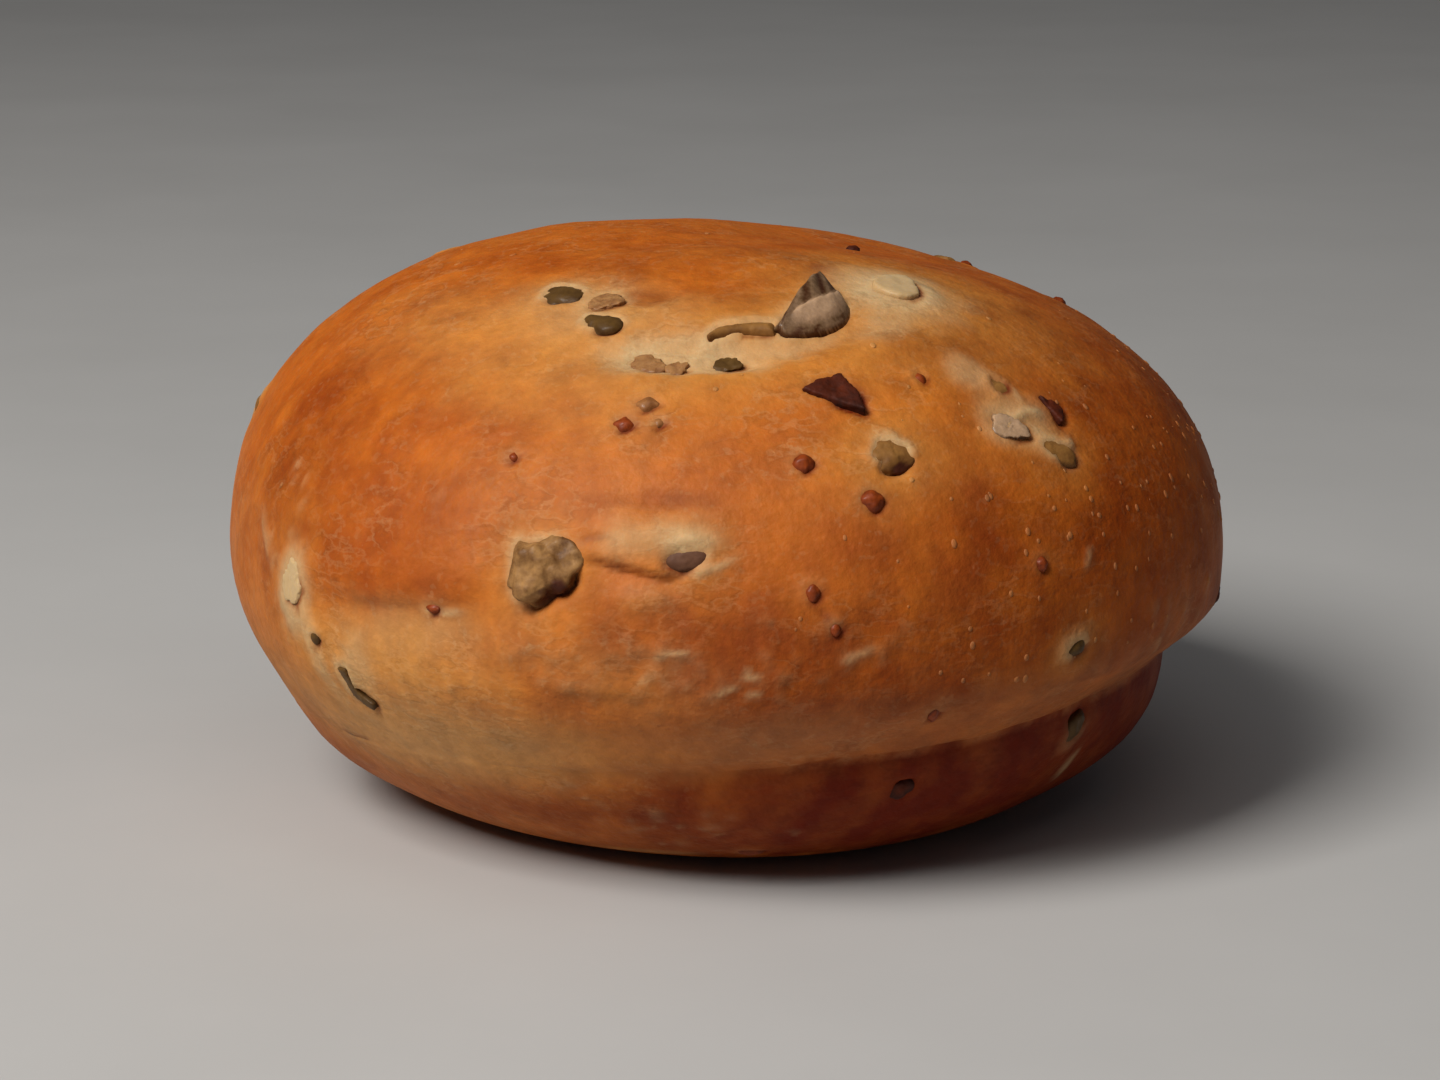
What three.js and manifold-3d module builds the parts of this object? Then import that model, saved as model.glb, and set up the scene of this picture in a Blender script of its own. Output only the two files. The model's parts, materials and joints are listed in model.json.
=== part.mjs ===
// A round burger bun baked from dough with chopped green pepper, onion, dried chilli and mustard seed.
//
// The dough is one solid. Its upper part is a domed crown that hangs over a pale belt, the belt ends in a
// crease, and below the crease a browned base ring curves in to a flat foot. Each piece of vegetable or
// seed that breaks the crust is a solid of its own, seated in a pocket that is cut to its shape.
//
// Units are millimetres. +Z is up, the bun stands on z = 0, and the origin is under the middle of the
// bun's bounding box. Azimuth 0 faces -Y and 90 faces +X. Elevation is seen from the heart of the bun,
// which is the point on its axis at the height of its widest girth.
import * as THREE from "three";
import { mergeVertices } from "three/addons/utils/BufferGeometryUtils.js";
import Module from "manifold-3d";

// ---------------------------------------------------------------- driving dimensions

const FOOT_RADIUS = 24; // flat disc that the bun stands on
const CREASE_RADIUS = 44.5; // top edge of the base ring
const CREASE_HEIGHT = 14;
const CREASE_TILT = 3; // the crease is this much higher at +X and lower at -X
const LIP_OVERHANG = 0.5; // step from the base ring out to the belt above it
const LIP_SWING = 0.4; // the step is this much wider at +X and narrower at -X
const LIP_RISE = 0.5;
const SMOOTH_SIDE = -0.6; // sine of the azimuth up to which the base ring runs smoothly into the belt
const CRISP_SIDE = 0.3; // sine of the azimuth from which the crease is crisp
const FOOT_FLARE = 10; // how far the underside runs out almost level from the foot
const TUCK_SMOOTH = 4.2; // how far the underside stays in below the crease where it is smooth
const TUCK_CRISP = 0.2; // the same where the crease is crisp
const TUCK_DROP = 5.2; // height below a smooth crease at which the underside starts to turn up to it
const BELT_SWELL = 2.7; // how far the belt runs out before it turns upward
const BELT_LIFT = 3.3; // how far it rises over that run
const GIRTH_RUN = 6.5; // height below the widest girth over which the belt turns upright
const GIRTH_RADIUS = 51; // widest part of the crown
const GIRTH_HEIGHT = 26;
const CROWN_HEIGHT = 56.5;
const CROWN_FULLNESS = 2.15; // superellipse exponent, where 2 is a plain ellipse
const LOBE_FADE_HEIGHT = 8; // swellings die out below this height, so that the foot stays flat

// Swellings and hollows of the hand-shaped dough: azimuth, elevation and spread in degrees, rise in mm.
const LOBES = [
  { azimuth: 90, elevation: 0, spread: 28, rise: -1.5 }, // right flank
  { azimuth: -90, elevation: 0, spread: 28, rise: -1.0 }, // left flank
  { azimuth: 104, elevation: 42, spread: 26, rise: -1.5 }, // right shoulder
  { azimuth: -98, elevation: 32, spread: 26, rise: 1.5 }, // left shoulder
  { azimuth: 130, elevation: 68, spread: 24, rise: -1.5 }, // right side of the crown
  { azimuth: -130, elevation: 68, spread: 22, rise: 0.5 }, // left side of the crown
  { azimuth: 82, elevation: -30, spread: 18, rise: 2.0 }, // right side of the belt
  { azimuth: -82, elevation: -30, spread: 18, rise: 1.5 }, // left side of the belt
  { azimuth: 168, elevation: 18, spread: 30, rise: -0.8 }, // back
];

const AROUND = 64; // segments round the bun
const FOOT_ROWS = 3;
const UNDERSIDE_ROWS = 6;
const BELT_ROWS = 4;
const CROWN_ROWS = 15;

const POCKET_GAP = 0.3; // clearance between a piece and its pocket

// ---------------------------------------------------------------- the surface of the dough

const rad = THREE.MathUtils.degToRad;
const heart = new THREE.Vector3(0, 0, GIRTH_HEIGHT);

// The direction from the heart at an azimuth and elevation in radians.
function direction(azimuth, elevation) {
  const level = Math.cos(elevation);
  return new THREE.Vector3(level * Math.sin(azimuth), -level * Math.cos(azimuth), Math.sin(elevation));
}

// The four stretches of the bun's outline, each a function of its own share t and the azimuth.
function footPoint(t) {
  return new THREE.Vector2(FOOT_RADIUS * t, 0);
}

function creaseHeight(azimuth) {
  return CREASE_HEIGHT + CREASE_TILT * Math.sin(azimuth);
}

// How crisp the crease is, from 1 round the +X side to 0 round the -X side, where the base runs into the belt.
function creaseCrispness(azimuth) {
  return THREE.MathUtils.smoothstep(Math.sin(azimuth), SMOOTH_SIDE, CRISP_SIDE);
}

function undersidePoint(t, azimuth) {
  const height = creaseHeight(azimuth);
  const crisp = creaseCrispness(azimuth);
  const radius = CREASE_RADIUS - THREE.MathUtils.lerp(TUCK_SMOOTH, TUCK_CRISP, crisp);
  return new THREE.CubicBezierCurve(
    new THREE.Vector2(FOOT_RADIUS, 0),
    new THREE.Vector2(FOOT_RADIUS + FOOT_FLARE, 0),
    new THREE.Vector2(radius, THREE.MathUtils.lerp(height - TUCK_DROP, height / 2, crisp)),
    new THREE.Vector2(CREASE_RADIUS, height),
  ).getPoint(t);
}

function beltPoint(t, azimuth) {
  const overhang = (LIP_OVERHANG + LIP_SWING * Math.sin(azimuth)) * creaseCrispness(azimuth);
  const radius = CREASE_RADIUS + overhang;
  const height = creaseHeight(azimuth) + LIP_RISE;
  return new THREE.CubicBezierCurve(
    new THREE.Vector2(radius, height),
    new THREE.Vector2(radius + BELT_SWELL, height + BELT_LIFT),
    new THREE.Vector2(GIRTH_RADIUS, GIRTH_HEIGHT - GIRTH_RUN),
    new THREE.Vector2(GIRTH_RADIUS, GIRTH_HEIGHT),
  ).getPoint(t);
}

function crownPoint(t) {
  const turn = (t * Math.PI) / 2;
  const power = 2 / CROWN_FULLNESS;
  return new THREE.Vector2(
    GIRTH_RADIUS * Math.max(0, Math.cos(turn)) ** power,
    GIRTH_HEIGHT + (CROWN_HEIGHT - GIRTH_HEIGHT) * Math.sin(turn) ** power,
  );
}

// A station is a place on the outline: one of the stretches, and the share t along it.
function stationsOf(stretch, rows, first = 0) {
  return Array.from({ length: rows + 1 - first }, (_, i) => ({ stretch, t: (i + first) / rows }));
}

const stations = [
  ...stationsOf(footPoint, FOOT_ROWS),
  ...stationsOf(undersidePoint, UNDERSIDE_ROWS, 1),
  ...stationsOf(beltPoint, BELT_ROWS),
  ...stationsOf(crownPoint, CROWN_ROWS, 1),
];

// How far the lobes push the surface out where it faces a direction from the heart.
function lobeRise(facing) {
  return LOBES.reduce((sum, lobe) => {
    const away = facing.angleTo(direction(rad(lobe.azimuth), rad(lobe.elevation)));
    return sum + lobe.rise * Math.exp(-((away / rad(lobe.spread)) ** 2));
  }, 0);
}

function doughPoint(station, azimuth) {
  const outline = station.stretch(station.t, azimuth);
  const point = new THREE.Vector3(outline.x * Math.sin(azimuth), -outline.x * Math.cos(azimuth), outline.y);
  const facing = point.clone().sub(heart).normalize();
  const fade = THREE.MathUtils.clamp(point.z / LOBE_FADE_HEIGHT, 0, 1);
  return point.addScaledVector(facing, lobeRise(facing) * fade);
}

function doughGeometry() {
  const outline = stations.map((station) => station.stretch(station.t, 0));
  const geometry = new THREE.LatheGeometry(outline, AROUND);
  const positions = geometry.getAttribute("position");
  for (let i = 0; i < positions.count; i++) {
    const turn = Math.floor(i / stations.length) % AROUND;
    const point = doughPoint(stations[i % stations.length], (turn / AROUND) * 2 * Math.PI);
    positions.setXYZ(i, point.x, point.y, point.z);
  }
  return geometry;
}

// ---------------------------------------------------------------- seats on the crust

function elevationOf(point) {
  return Math.asin(point.clone().sub(heart).normalize().z);
}

// The station of the crown or the belt that is seen at an elevation, found by halving.
function stationAt(azimuth, elevation) {
  const stretches = [undersidePoint, beltPoint, crownPoint];
  const stretch = stretches.find((each) => elevationOf(doughPoint({ stretch: each, t: 1 }, azimuth)) > elevation);
  let low = 0;
  let high = 1;
  for (let i = 0; i < 24; i++) {
    const middle = (low + high) / 2;
    if (elevationOf(doughPoint({ stretch, t: middle }, azimuth)) < elevation) low = middle;
    else high = middle;
  }
  return { stretch, t: low };
}

// A matrix that takes x round the bun, y up the crust and z out of it, turned by spin about z.
function seatMatrix(azimuth, elevation, spin, sink) {
  const station = stationAt(azimuth, elevation);
  const step = 0.01;
  const at = doughPoint(station, azimuth);
  const round = doughPoint(station, azimuth + step).sub(doughPoint(station, azimuth - step));
  const below = { stretch: station.stretch, t: Math.max(0, station.t - step) };
  const above = { stretch: station.stretch, t: Math.min(1, station.t + step) };
  const up = doughPoint(above, azimuth).sub(doughPoint(below, azimuth));
  const out = round.clone().cross(up).normalize();
  const across = round.normalize();
  const along = out.clone().cross(across);
  return new THREE.Matrix4()
    .makeBasis(across, along, out)
    .setPosition(at.addScaledVector(out, -sink))
    .multiply(new THREE.Matrix4().makeRotationZ(spin));
}

// ---------------------------------------------------------------- shapes of the pieces
// Each takes its length, width and thickness along x, y and z, and is centred on its own origin.

function scaled(geometry, length, width, thickness) {
  geometry.computeBoundingBox();
  geometry.center();
  const size = geometry.boundingBox.getSize(new THREE.Vector3());
  return geometry.scale(length / size.x, width / size.y, thickness / size.z);
}

function oval(...size) {
  return scaled(new THREE.SphereGeometry(1, 8, 5), ...size);
}

function chunk(...size) {
  return scaled(new THREE.DodecahedronGeometry(1), ...size);
}

function grain(...size) {
  return scaled(new THREE.OctahedronGeometry(1, 1), ...size);
}

// A thin plate with a rounded, slightly lobed outline.
function flake(...size) {
  const outline = Array.from({ length: 14 }, (_, i) => {
    const turn = (i / 14) * 2 * Math.PI;
    const reach = 1 + 0.08 * Math.cos(3 * turn) + 0.05 * Math.sin(2 * turn);
    return new THREE.Vector2(reach * Math.cos(turn), reach * Math.sin(turn));
  });
  return scaled(new THREE.ExtrudeGeometry(new THREE.Shape(outline), { depth: 1, bevelEnabled: false }), ...size);
}

// A three-cornered sliver of dried skin with one long point.
function shard(...size) {
  const outline = new THREE.Shape();
  outline.moveTo(-1, 0.35);
  outline.quadraticCurveTo(-0.3, 0.8, 0.45, 1);
  outline.quadraticCurveTo(0.95, 0.3, 1, -1);
  outline.quadraticCurveTo(0, -0.45, -1, 0.35);
  const options = { depth: 1, bevelEnabled: false, curveSegments: 4 };
  return scaled(new THREE.ExtrudeGeometry(outline, options), ...size);
}

// A sliver of skin bent into a hook.
function hook(...size) {
  const outline = new THREE.Shape();
  outline.moveTo(-1, 1);
  outline.lineTo(-0.3, 1);
  outline.lineTo(-0.2, 0.1);
  outline.quadraticCurveTo(0, -0.25, 1, -0.65);
  outline.lineTo(0.85, -1);
  outline.quadraticCurveTo(-0.2, -0.75, -0.75, -0.3);
  outline.lineTo(-1, 1);
  const options = { depth: 1, bevelEnabled: false, curveSegments: 4 };
  return scaled(new THREE.ExtrudeGeometry(outline, options), ...size);
}

// A strip of flesh, bent a little along its length.
function strip(...size) {
  const section = new THREE.Shape();
  section.absellipse(0, 0, 0.5, 0.5, 0, 2 * Math.PI);
  const path = new THREE.QuadraticBezierCurve3(
    new THREE.Vector3(-3, -0.25, 0),
    new THREE.Vector3(0, 0.45, 0),
    new THREE.Vector3(3, -0.1, 0),
  );
  const options = { steps: 8, bevelEnabled: false, curveSegments: 4, extrudePath: path };
  return scaled(new THREE.ExtrudeGeometry(section, options), ...size);
}

// A folded leaf of skin: a ridge with two sloping sides.
function fold(...size) {
  const outline = new THREE.Shape();
  outline.moveTo(-1, 0);
  outline.quadraticCurveTo(-0.55, 0.8, 0, 1);
  outline.quadraticCurveTo(0.65, 0.75, 1, 0);
  outline.closePath();
  const solid = new THREE.ExtrudeGeometry(outline, { depth: 1, bevelEnabled: false, curveSegments: 4 });
  return scaled(solid.rotateX(Math.PI / 2), ...size);
}

// A plain plate, which is the pocket of a hook: a larger copy of a bent outline wouldn't clear its inner bend.
function plate(...size) {
  return scaled(new THREE.BoxGeometry(1, 1, 1), ...size);
}

const pocketShapes = new Map([[hook, plate]]);

// ---------------------------------------------------------------- the pieces in the crust

const material = (color, roughness) => new THREE.MeshStandardMaterial({ color, roughness, metalness: 0 });
const MATERIALS = {
  crust: material("#b9672a", 0.5),
  pepper: material("#6f6a2f", 0.35),
  pepper_dark: material("#3d3a1f", 0.4),
  onion: material("#cbb48c", 0.35),
  chilli: material("#3a1a10", 0.45),
  mustard: material("#8a4422", 0.4),
};

// name, shape, material, azimuth, elevation and spin in degrees, length, width, thickness and sink in mm.
// The sink is how far the middle of the piece lies below the crust.
const PIECES = [
  ["pepper_chunk_front", chunk, "pepper", -20, 9, 15, 7.4, 6.8, 5.6, 1.4],
  ["pepper_bit_slit", oval, "pepper_dark", -4.5, 10.6, 10, 4.2, 2.4, 2.0, 0.6],
  ["pepper_oval_front", oval, "pepper", 19.5, 21.5, -12, 5.8, 4.6, 2.8, 0.9],
  ["pepper_oval_crown", oval, "pepper_dark", -40.4, 48, 12, 5.4, 4.4, 2.2, 0.6],
  ["pepper_skin_crown", oval, "pepper_dark", -24.5, 42, -10, 4.4, 3.0, 2.0, 0.5],
  ["pepper_strip_crown", strip, "pepper", 2.2, 42.2, 4, 6.8, 2.2, 1.8, 0.4],
  ["pepper_fold_crown", fold, "pepper", 17.4, 45.2, 42, 7.8, 5.2, 3.4, 0.6],
  ["pepper_bit_right", oval, "pepper", 39.5, 28.5, 0, 3.0, 2.8, 2.0, 0.6],
  ["pepper_slice_right", oval, "pepper", 42, 19, -42, 4.8, 2.8, 1.8, 0.5],
  ["pepper_bit_side_right", oval, "pepper_dark", 38.5, -2, 30, 2.6, 2.0, 1.6, 0.4],
  ["pepper_bit_belt_right", oval, "pepper_dark", 48, -16, 55, 4.0, 2.6, 2.0, 0.6],
  ["pepper_hook_left", hook, "pepper_dark", -45, -8, 0, 3.0, 4.4, 1.4, 0.4],
  ["pepper_bit_side_left", oval, "pepper_dark", -50.5, -3, 70, 1.8, 1.4, 1.2, 0.3],
  ["onion_flake_crown", flake, "onion", -28.2, 47.8, 20, 3.6, 3.4, 1.2, 0.3],
  ["onion_flake_centre_left", flake, "onion", -13.4, 36.0, -25, 3.4, 2.6, 1.0, 0.2],
  ["onion_flake_centre_right", flake, "onion", -8.6, 35.4, 40, 2.4, 2.0, 1.0, 0.2],
  ["pepper_flake_centre", flake, "pepper_dark", -0.6, 36.8, 10, 3.0, 2.0, 1.0, 0.2],
  ["onion_flake_crown_right", flake, "onion", 41.5, 49, 30, 5.4, 4.6, 1.2, 0.3],
  ["onion_flake_right", flake, "onion", 36.8, 22.5, -35, 3.8, 2.8, 1.0, 0.2],
  ["onion_flake_side_left", flake, "onion", -54, 2.5, 80, 4.4, 3.2, 1.0, 0.2],
  ["chilli_shard_front", shard, "chilli", 14, 29.5, 0, 5.2, 4.6, 1.4, 0.3],
  ["chilli_skin_right", shard, "chilli", 45.5, 24, -60, 3.0, 1.8, 1.2, 0.3],
  ["chilli_bit_base_front", oval, "chilli", 21.5, -19.5, 10, 3.2, 2.4, 1.8, 0.6],
  ["chilli_bit_side_right", oval, "chilli", 73.5, -4, 60, 2.8, 1.8, 1.4, 0.4],
  ["chilli_bit_crown_back", grain, "chilli", 100, 66, 0, 1.8, 1.6, 1.4, 0.2],
  ["mustard_seed_upper_left_1", grain, "mustard", -11.3, 28, 0, 2.8, 2.2, 1.9, 0.4],
  ["mustard_seed_upper_left_2", grain, "mustard", -13.8, 25.2, 0, 2.4, 2.2, 1.9, 0.4],
  ["mustard_seed_upper_left_3", grain, "mustard", -9.3, 25.6, 0, 1.4, 1.3, 1.3, 0.3],
  ["mustard_seed_centre", grain, "mustard", 8.5, 20.7, 0, 2.3, 2.1, 1.9, 0.4],
  ["mustard_seed_below_oval", grain, "mustard", 15.7, 16.2, 0, 2.7, 2.4, 2.2, 0.5],
  ["mustard_seed_upper_right", grain, "mustard", 28, 30.8, 0, 1.9, 1.9, 1.6, 0.4],
  ["mustard_seed_lower_1", grain, "mustard", 8.3, 7, 0, 1.6, 1.9, 1.5, 0.4],
  ["mustard_seed_lower_2", grain, "mustard", 10.5, 3.2, 0, 1.2, 1.5, 1.2, 0.3],
  ["mustard_seed_flank_right", grain, "mustard", 34.5, 7.6, 0, 1.4, 1.6, 1.3, 0.3],
  ["mustard_seed_belt_front", grain, "mustard", 22, -7.5, 0, 1.5, 2.4, 1.6, 0.4],
  ["mustard_seed_far_left", grain, "mustard", -26.5, 20.2, 0, 1.2, 1.1, 1.2, 0.3],
  ["mustard_seed_crease_left", grain, "mustard", -32.5, 3.3, 0, 1.8, 1.1, 1.2, 0.3],
  ["mustard_seed_foot_front", grain, "mustard", 3, -32, 0, 3.0, 2.0, 1.8, 0.4],
  ["pepper_chunk_back", chunk, "pepper", 163, 22, -20, 6.2, 5.4, 4.6, 1.2],
  ["pepper_oval_back", oval, "pepper", -141, 31, 35, 5.4, 4.0, 2.6, 0.8],
  ["pepper_strip_back", strip, "pepper", 140, 33, -30, 7.2, 2.4, 1.8, 0.4],
  ["pepper_bit_left", oval, "pepper", -92, 15, 50, 3.6, 2.8, 2.0, 0.6],
  ["pepper_bit_belt_back", oval, "pepper_dark", -168, -14, 10, 3.6, 2.4, 1.8, 0.5],
  ["pepper_oval_left", oval, "pepper_dark", -114, 38, -25, 4.8, 3.4, 2.2, 0.6],
  ["onion_flake_back", flake, "onion", -168, 43, 15, 4.6, 3.6, 1.0, 0.2],
  ["onion_flake_back_right", flake, "onion", 120, 21, 60, 3.8, 3.0, 1.0, 0.2],
  ["chilli_shard_back", shard, "chilli", 104, 14, 130, 4.2, 3.4, 1.2, 0.3],
  ["chilli_bit_left", oval, "chilli", -112, -6, 20, 2.6, 1.8, 1.4, 0.4],
  ["mustard_seed_back_1", grain, "mustard", -122, 12, 0, 2.3, 2.1, 1.9, 0.4],
  ["mustard_seed_back_2", grain, "mustard", 146, 6, 0, 2.0, 1.9, 1.7, 0.4],
  ["mustard_seed_back_3", grain, "mustard", -178, 26, 0, 2.4, 2.2, 1.9, 0.4],
  ["mustard_seed_back_4", grain, "mustard", 126, 38, 0, 1.8, 1.7, 1.5, 0.4],
  ["mustard_seed_back_5", grain, "mustard", -150, -4, 0, 1.9, 2.1, 1.6, 0.4],
  ["mustard_seed_right", grain, "mustard", 104, 32, 0, 2.1, 2.0, 1.8, 0.4],
  ["mustard_seed_left", grain, "mustard", -106, 24, 0, 2.0, 1.9, 1.7, 0.4],
];

// ---------------------------------------------------------------- joining it up

const wasm = await Module();
wasm.setup();

function solidOf(geometry, matrix = new THREE.Matrix4()) {
  const placed = geometry.clone().applyMatrix4(matrix);
  placed.deleteAttribute("normal");
  placed.deleteAttribute("uv");
  const merged = mergeVertices(placed, 1e-3);
  return new wasm.Manifold(
    new wasm.Mesh({
      numProp: 3,
      vertProperties: merged.getAttribute("position").array,
      triVerts: new Uint32Array(merged.index.array),
    }),
  );
}

function geometryOf(solid) {
  const mesh = solid.getMesh();
  const geometry = new THREE.BufferGeometry();
  geometry.setAttribute("position", new THREE.BufferAttribute(mesh.vertProperties, mesh.numProp));
  geometry.setIndex(new THREE.BufferAttribute(mesh.triVerts, 1));
  geometry.computeVertexNormals();
  return geometry;
}

function namedMesh(name, geometry, finish) {
  const mesh = new THREE.Mesh(geometry, finish);
  mesh.name = name;
  return mesh;
}

const bun = new THREE.Group();
let dough = solidOf(doughGeometry());

for (const [name, shape, finish, azimuth, elevation, spin, length, width, thickness, sink] of PIECES) {
  const seat = seatMatrix(rad(azimuth), rad(elevation), rad(spin), sink);
  const pocketShape = pocketShapes.get(shape) ?? shape;
  const pocketSize = [length, width, thickness].map((size) => size + 2 * POCKET_GAP);
  dough = dough.subtract(solidOf(pocketShape(...pocketSize), seat));
  const piece = namedMesh(name, shape(length, width, thickness), MATERIALS[finish]);
  piece.applyMatrix4(seat);
  bun.add(piece);
}

const doughMesh = namedMesh("bun", geometryOf(dough), MATERIALS.crust);
bun.add(doughMesh);

// The hand-shaped dough isn't quite even, so the whole bun is shifted to centre its bounding box.
const middle = new THREE.Box3().setFromObject(doughMesh).getCenter(new THREE.Vector3());
bun.position.set(-middle.x, -middle.y, 0);

export default bun;
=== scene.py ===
"""A baked burger bun with bits of pepper, onion, dried chilli and mustard seed in its crust.

The bread is one closed skin: a domed crown, a pale belt, a crease, a browned base ring and a flat foot.
Every bit that breaks the crust is a piece of its own in a soft socket, and the crust carries hundreds of
tiny blisters.

Sizes in the classes are in millimetres and angles in degrees; meshes are made in metres. Azimuth 0 faces -Y
and 90 faces +X. Elevation is seen from the heart of the bun, the point on its axis at the height of its
widest girth.
"""

import json
import logging
import math
from dataclasses import dataclass, field, replace
from enum import Enum

import bmesh
import bpy
import numpy as np
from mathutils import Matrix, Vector, kdtree, noise


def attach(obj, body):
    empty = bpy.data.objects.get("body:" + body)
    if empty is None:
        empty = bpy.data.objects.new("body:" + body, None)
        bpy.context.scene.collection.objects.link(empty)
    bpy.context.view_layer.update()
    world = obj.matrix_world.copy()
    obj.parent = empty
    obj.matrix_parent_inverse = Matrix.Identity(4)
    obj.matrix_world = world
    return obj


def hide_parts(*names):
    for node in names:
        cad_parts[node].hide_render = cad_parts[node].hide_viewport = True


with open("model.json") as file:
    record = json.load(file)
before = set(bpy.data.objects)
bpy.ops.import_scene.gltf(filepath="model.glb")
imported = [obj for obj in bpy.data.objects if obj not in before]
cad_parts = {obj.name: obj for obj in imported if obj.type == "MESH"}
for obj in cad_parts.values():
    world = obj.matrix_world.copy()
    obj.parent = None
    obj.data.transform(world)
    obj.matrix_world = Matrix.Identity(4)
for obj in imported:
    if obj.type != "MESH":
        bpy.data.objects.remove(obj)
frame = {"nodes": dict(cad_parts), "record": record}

LOG = logging.getLogger("burger_bun")
Array = np.ndarray
Colour = tuple[float, float, float]

MM = 0.001
BODY = "root"

FRACTAL_DIMENSION = 1.0
LACUNARITY = 2.1


# ---------------------------------------------------------------- small helpers


def smoothstep(value: Array | float) -> Array:
    """Eases a value from 0 to 1 between 0 and 1, and holds it outside."""
    t = np.clip(value, 0.0, 1.0)
    return t * t * (3.0 - 2.0 * t)


def unit(vectors: Array) -> Array:
    """Scales each row to length 1."""
    return vectors / np.maximum(np.linalg.norm(vectors, axis=-1, keepdims=True), 1e-9)


def bezier(a: Array, b: Array, c: Array, d: Array, t: Array) -> Array:
    """The value at t of a cubic curve with the four control values a, b, c and d."""
    s = 1.0 - t
    return s**3 * a + 3 * s * s * t * b + 3 * s * t * t * c + t**3 * d


def noise_field(points: Array, size: float, octaves: int, seed: float) -> Array:
    """Fractal noise over points in space.

    Args:
        points: rows of x, y, z in millimetres.
        size: how wide the largest lumps are, in millimetres.
        octaves: how many finer layers are added.
        seed: moves the pattern, so that two fields of one size differ.

    Returns:
        One value a point, mostly between -1 and 1.
    """
    moved = points / size + seed
    return np.array([noise.fractal(Vector(row), FRACTAL_DIMENSION, LACUNARITY, octaves) for row in moved])


def kd_tree(points: Array) -> kdtree.KDTree:
    """A search tree of rows of x, y, z."""
    tree = kdtree.KDTree(len(points))
    for i, row in enumerate(points):
        tree.insert(row, i)
    tree.balance()
    return tree


def linked(name: str, data: bpy.types.ID) -> bpy.types.Object:
    """A new object of some data, linked into the scene."""
    obj = bpy.data.objects.new(name, data)
    bpy.context.scene.collection.objects.link(obj)
    return obj


def aim(obj: bpy.types.Object, target: Vector, azimuth: float, elevation: float, distance: float) -> None:
    """Places a light or camera at a distance from its target, and turns it to face that."""
    obj.location = target + Vector(direction(azimuth, elevation)) * distance
    obj.rotation_euler = (target - obj.location).to_track_quat("-Z", "Y").to_euler()


def coordinates(vertices: object) -> Array:
    """Where a mesh's vertices are, one row each."""
    return np.array([vertex.co for vertex in vertices])


def baked_mesh(obj: bpy.types.Object, name: str) -> bpy.types.Mesh:
    """A plain mesh of what an object's modifiers make of it."""
    graph = bpy.context.evaluated_depsgraph_get()
    mesh = bpy.data.meshes.new_from_object(obj.evaluated_get(graph), depsgraph=graph)
    mesh.name = name
    return mesh


# ---------------------------------------------------------------- the shape of the dough


@dataclass(frozen=True)
class Lobe:
    """A swelling or hollow of the hand-shaped dough."""

    azimuth: float
    elevation: float
    spread: float
    rise: float


LOBES = (
    Lobe(90, 0, 28, -1.5),
    Lobe(-90, 0, 28, -1.0),
    Lobe(104, 42, 26, -1.5),
    Lobe(-98, 32, 26, 1.5),
    Lobe(130, 68, 24, -1.5),
    Lobe(-130, 68, 22, 0.5),
    Lobe(82, -30, 18, 2.0),
    Lobe(-82, -30, 18, 1.5),
    Lobe(168, 18, 30, -0.8),
)


class Stretch(Enum):
    """The stretches of the outline from the middle of the foot to the top, each one share long."""

    FOOT = 0
    UNDERSIDE = 1
    LIP = 2
    BELT = 3
    CROWN = 4


TOP = len(Stretch)


@dataclass(frozen=True)
class Seat:
    """A place on the crust with its own directions: across runs round the bun, along up it, out away."""

    centre: Array
    across: Array
    along: Array
    out: Array


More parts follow.
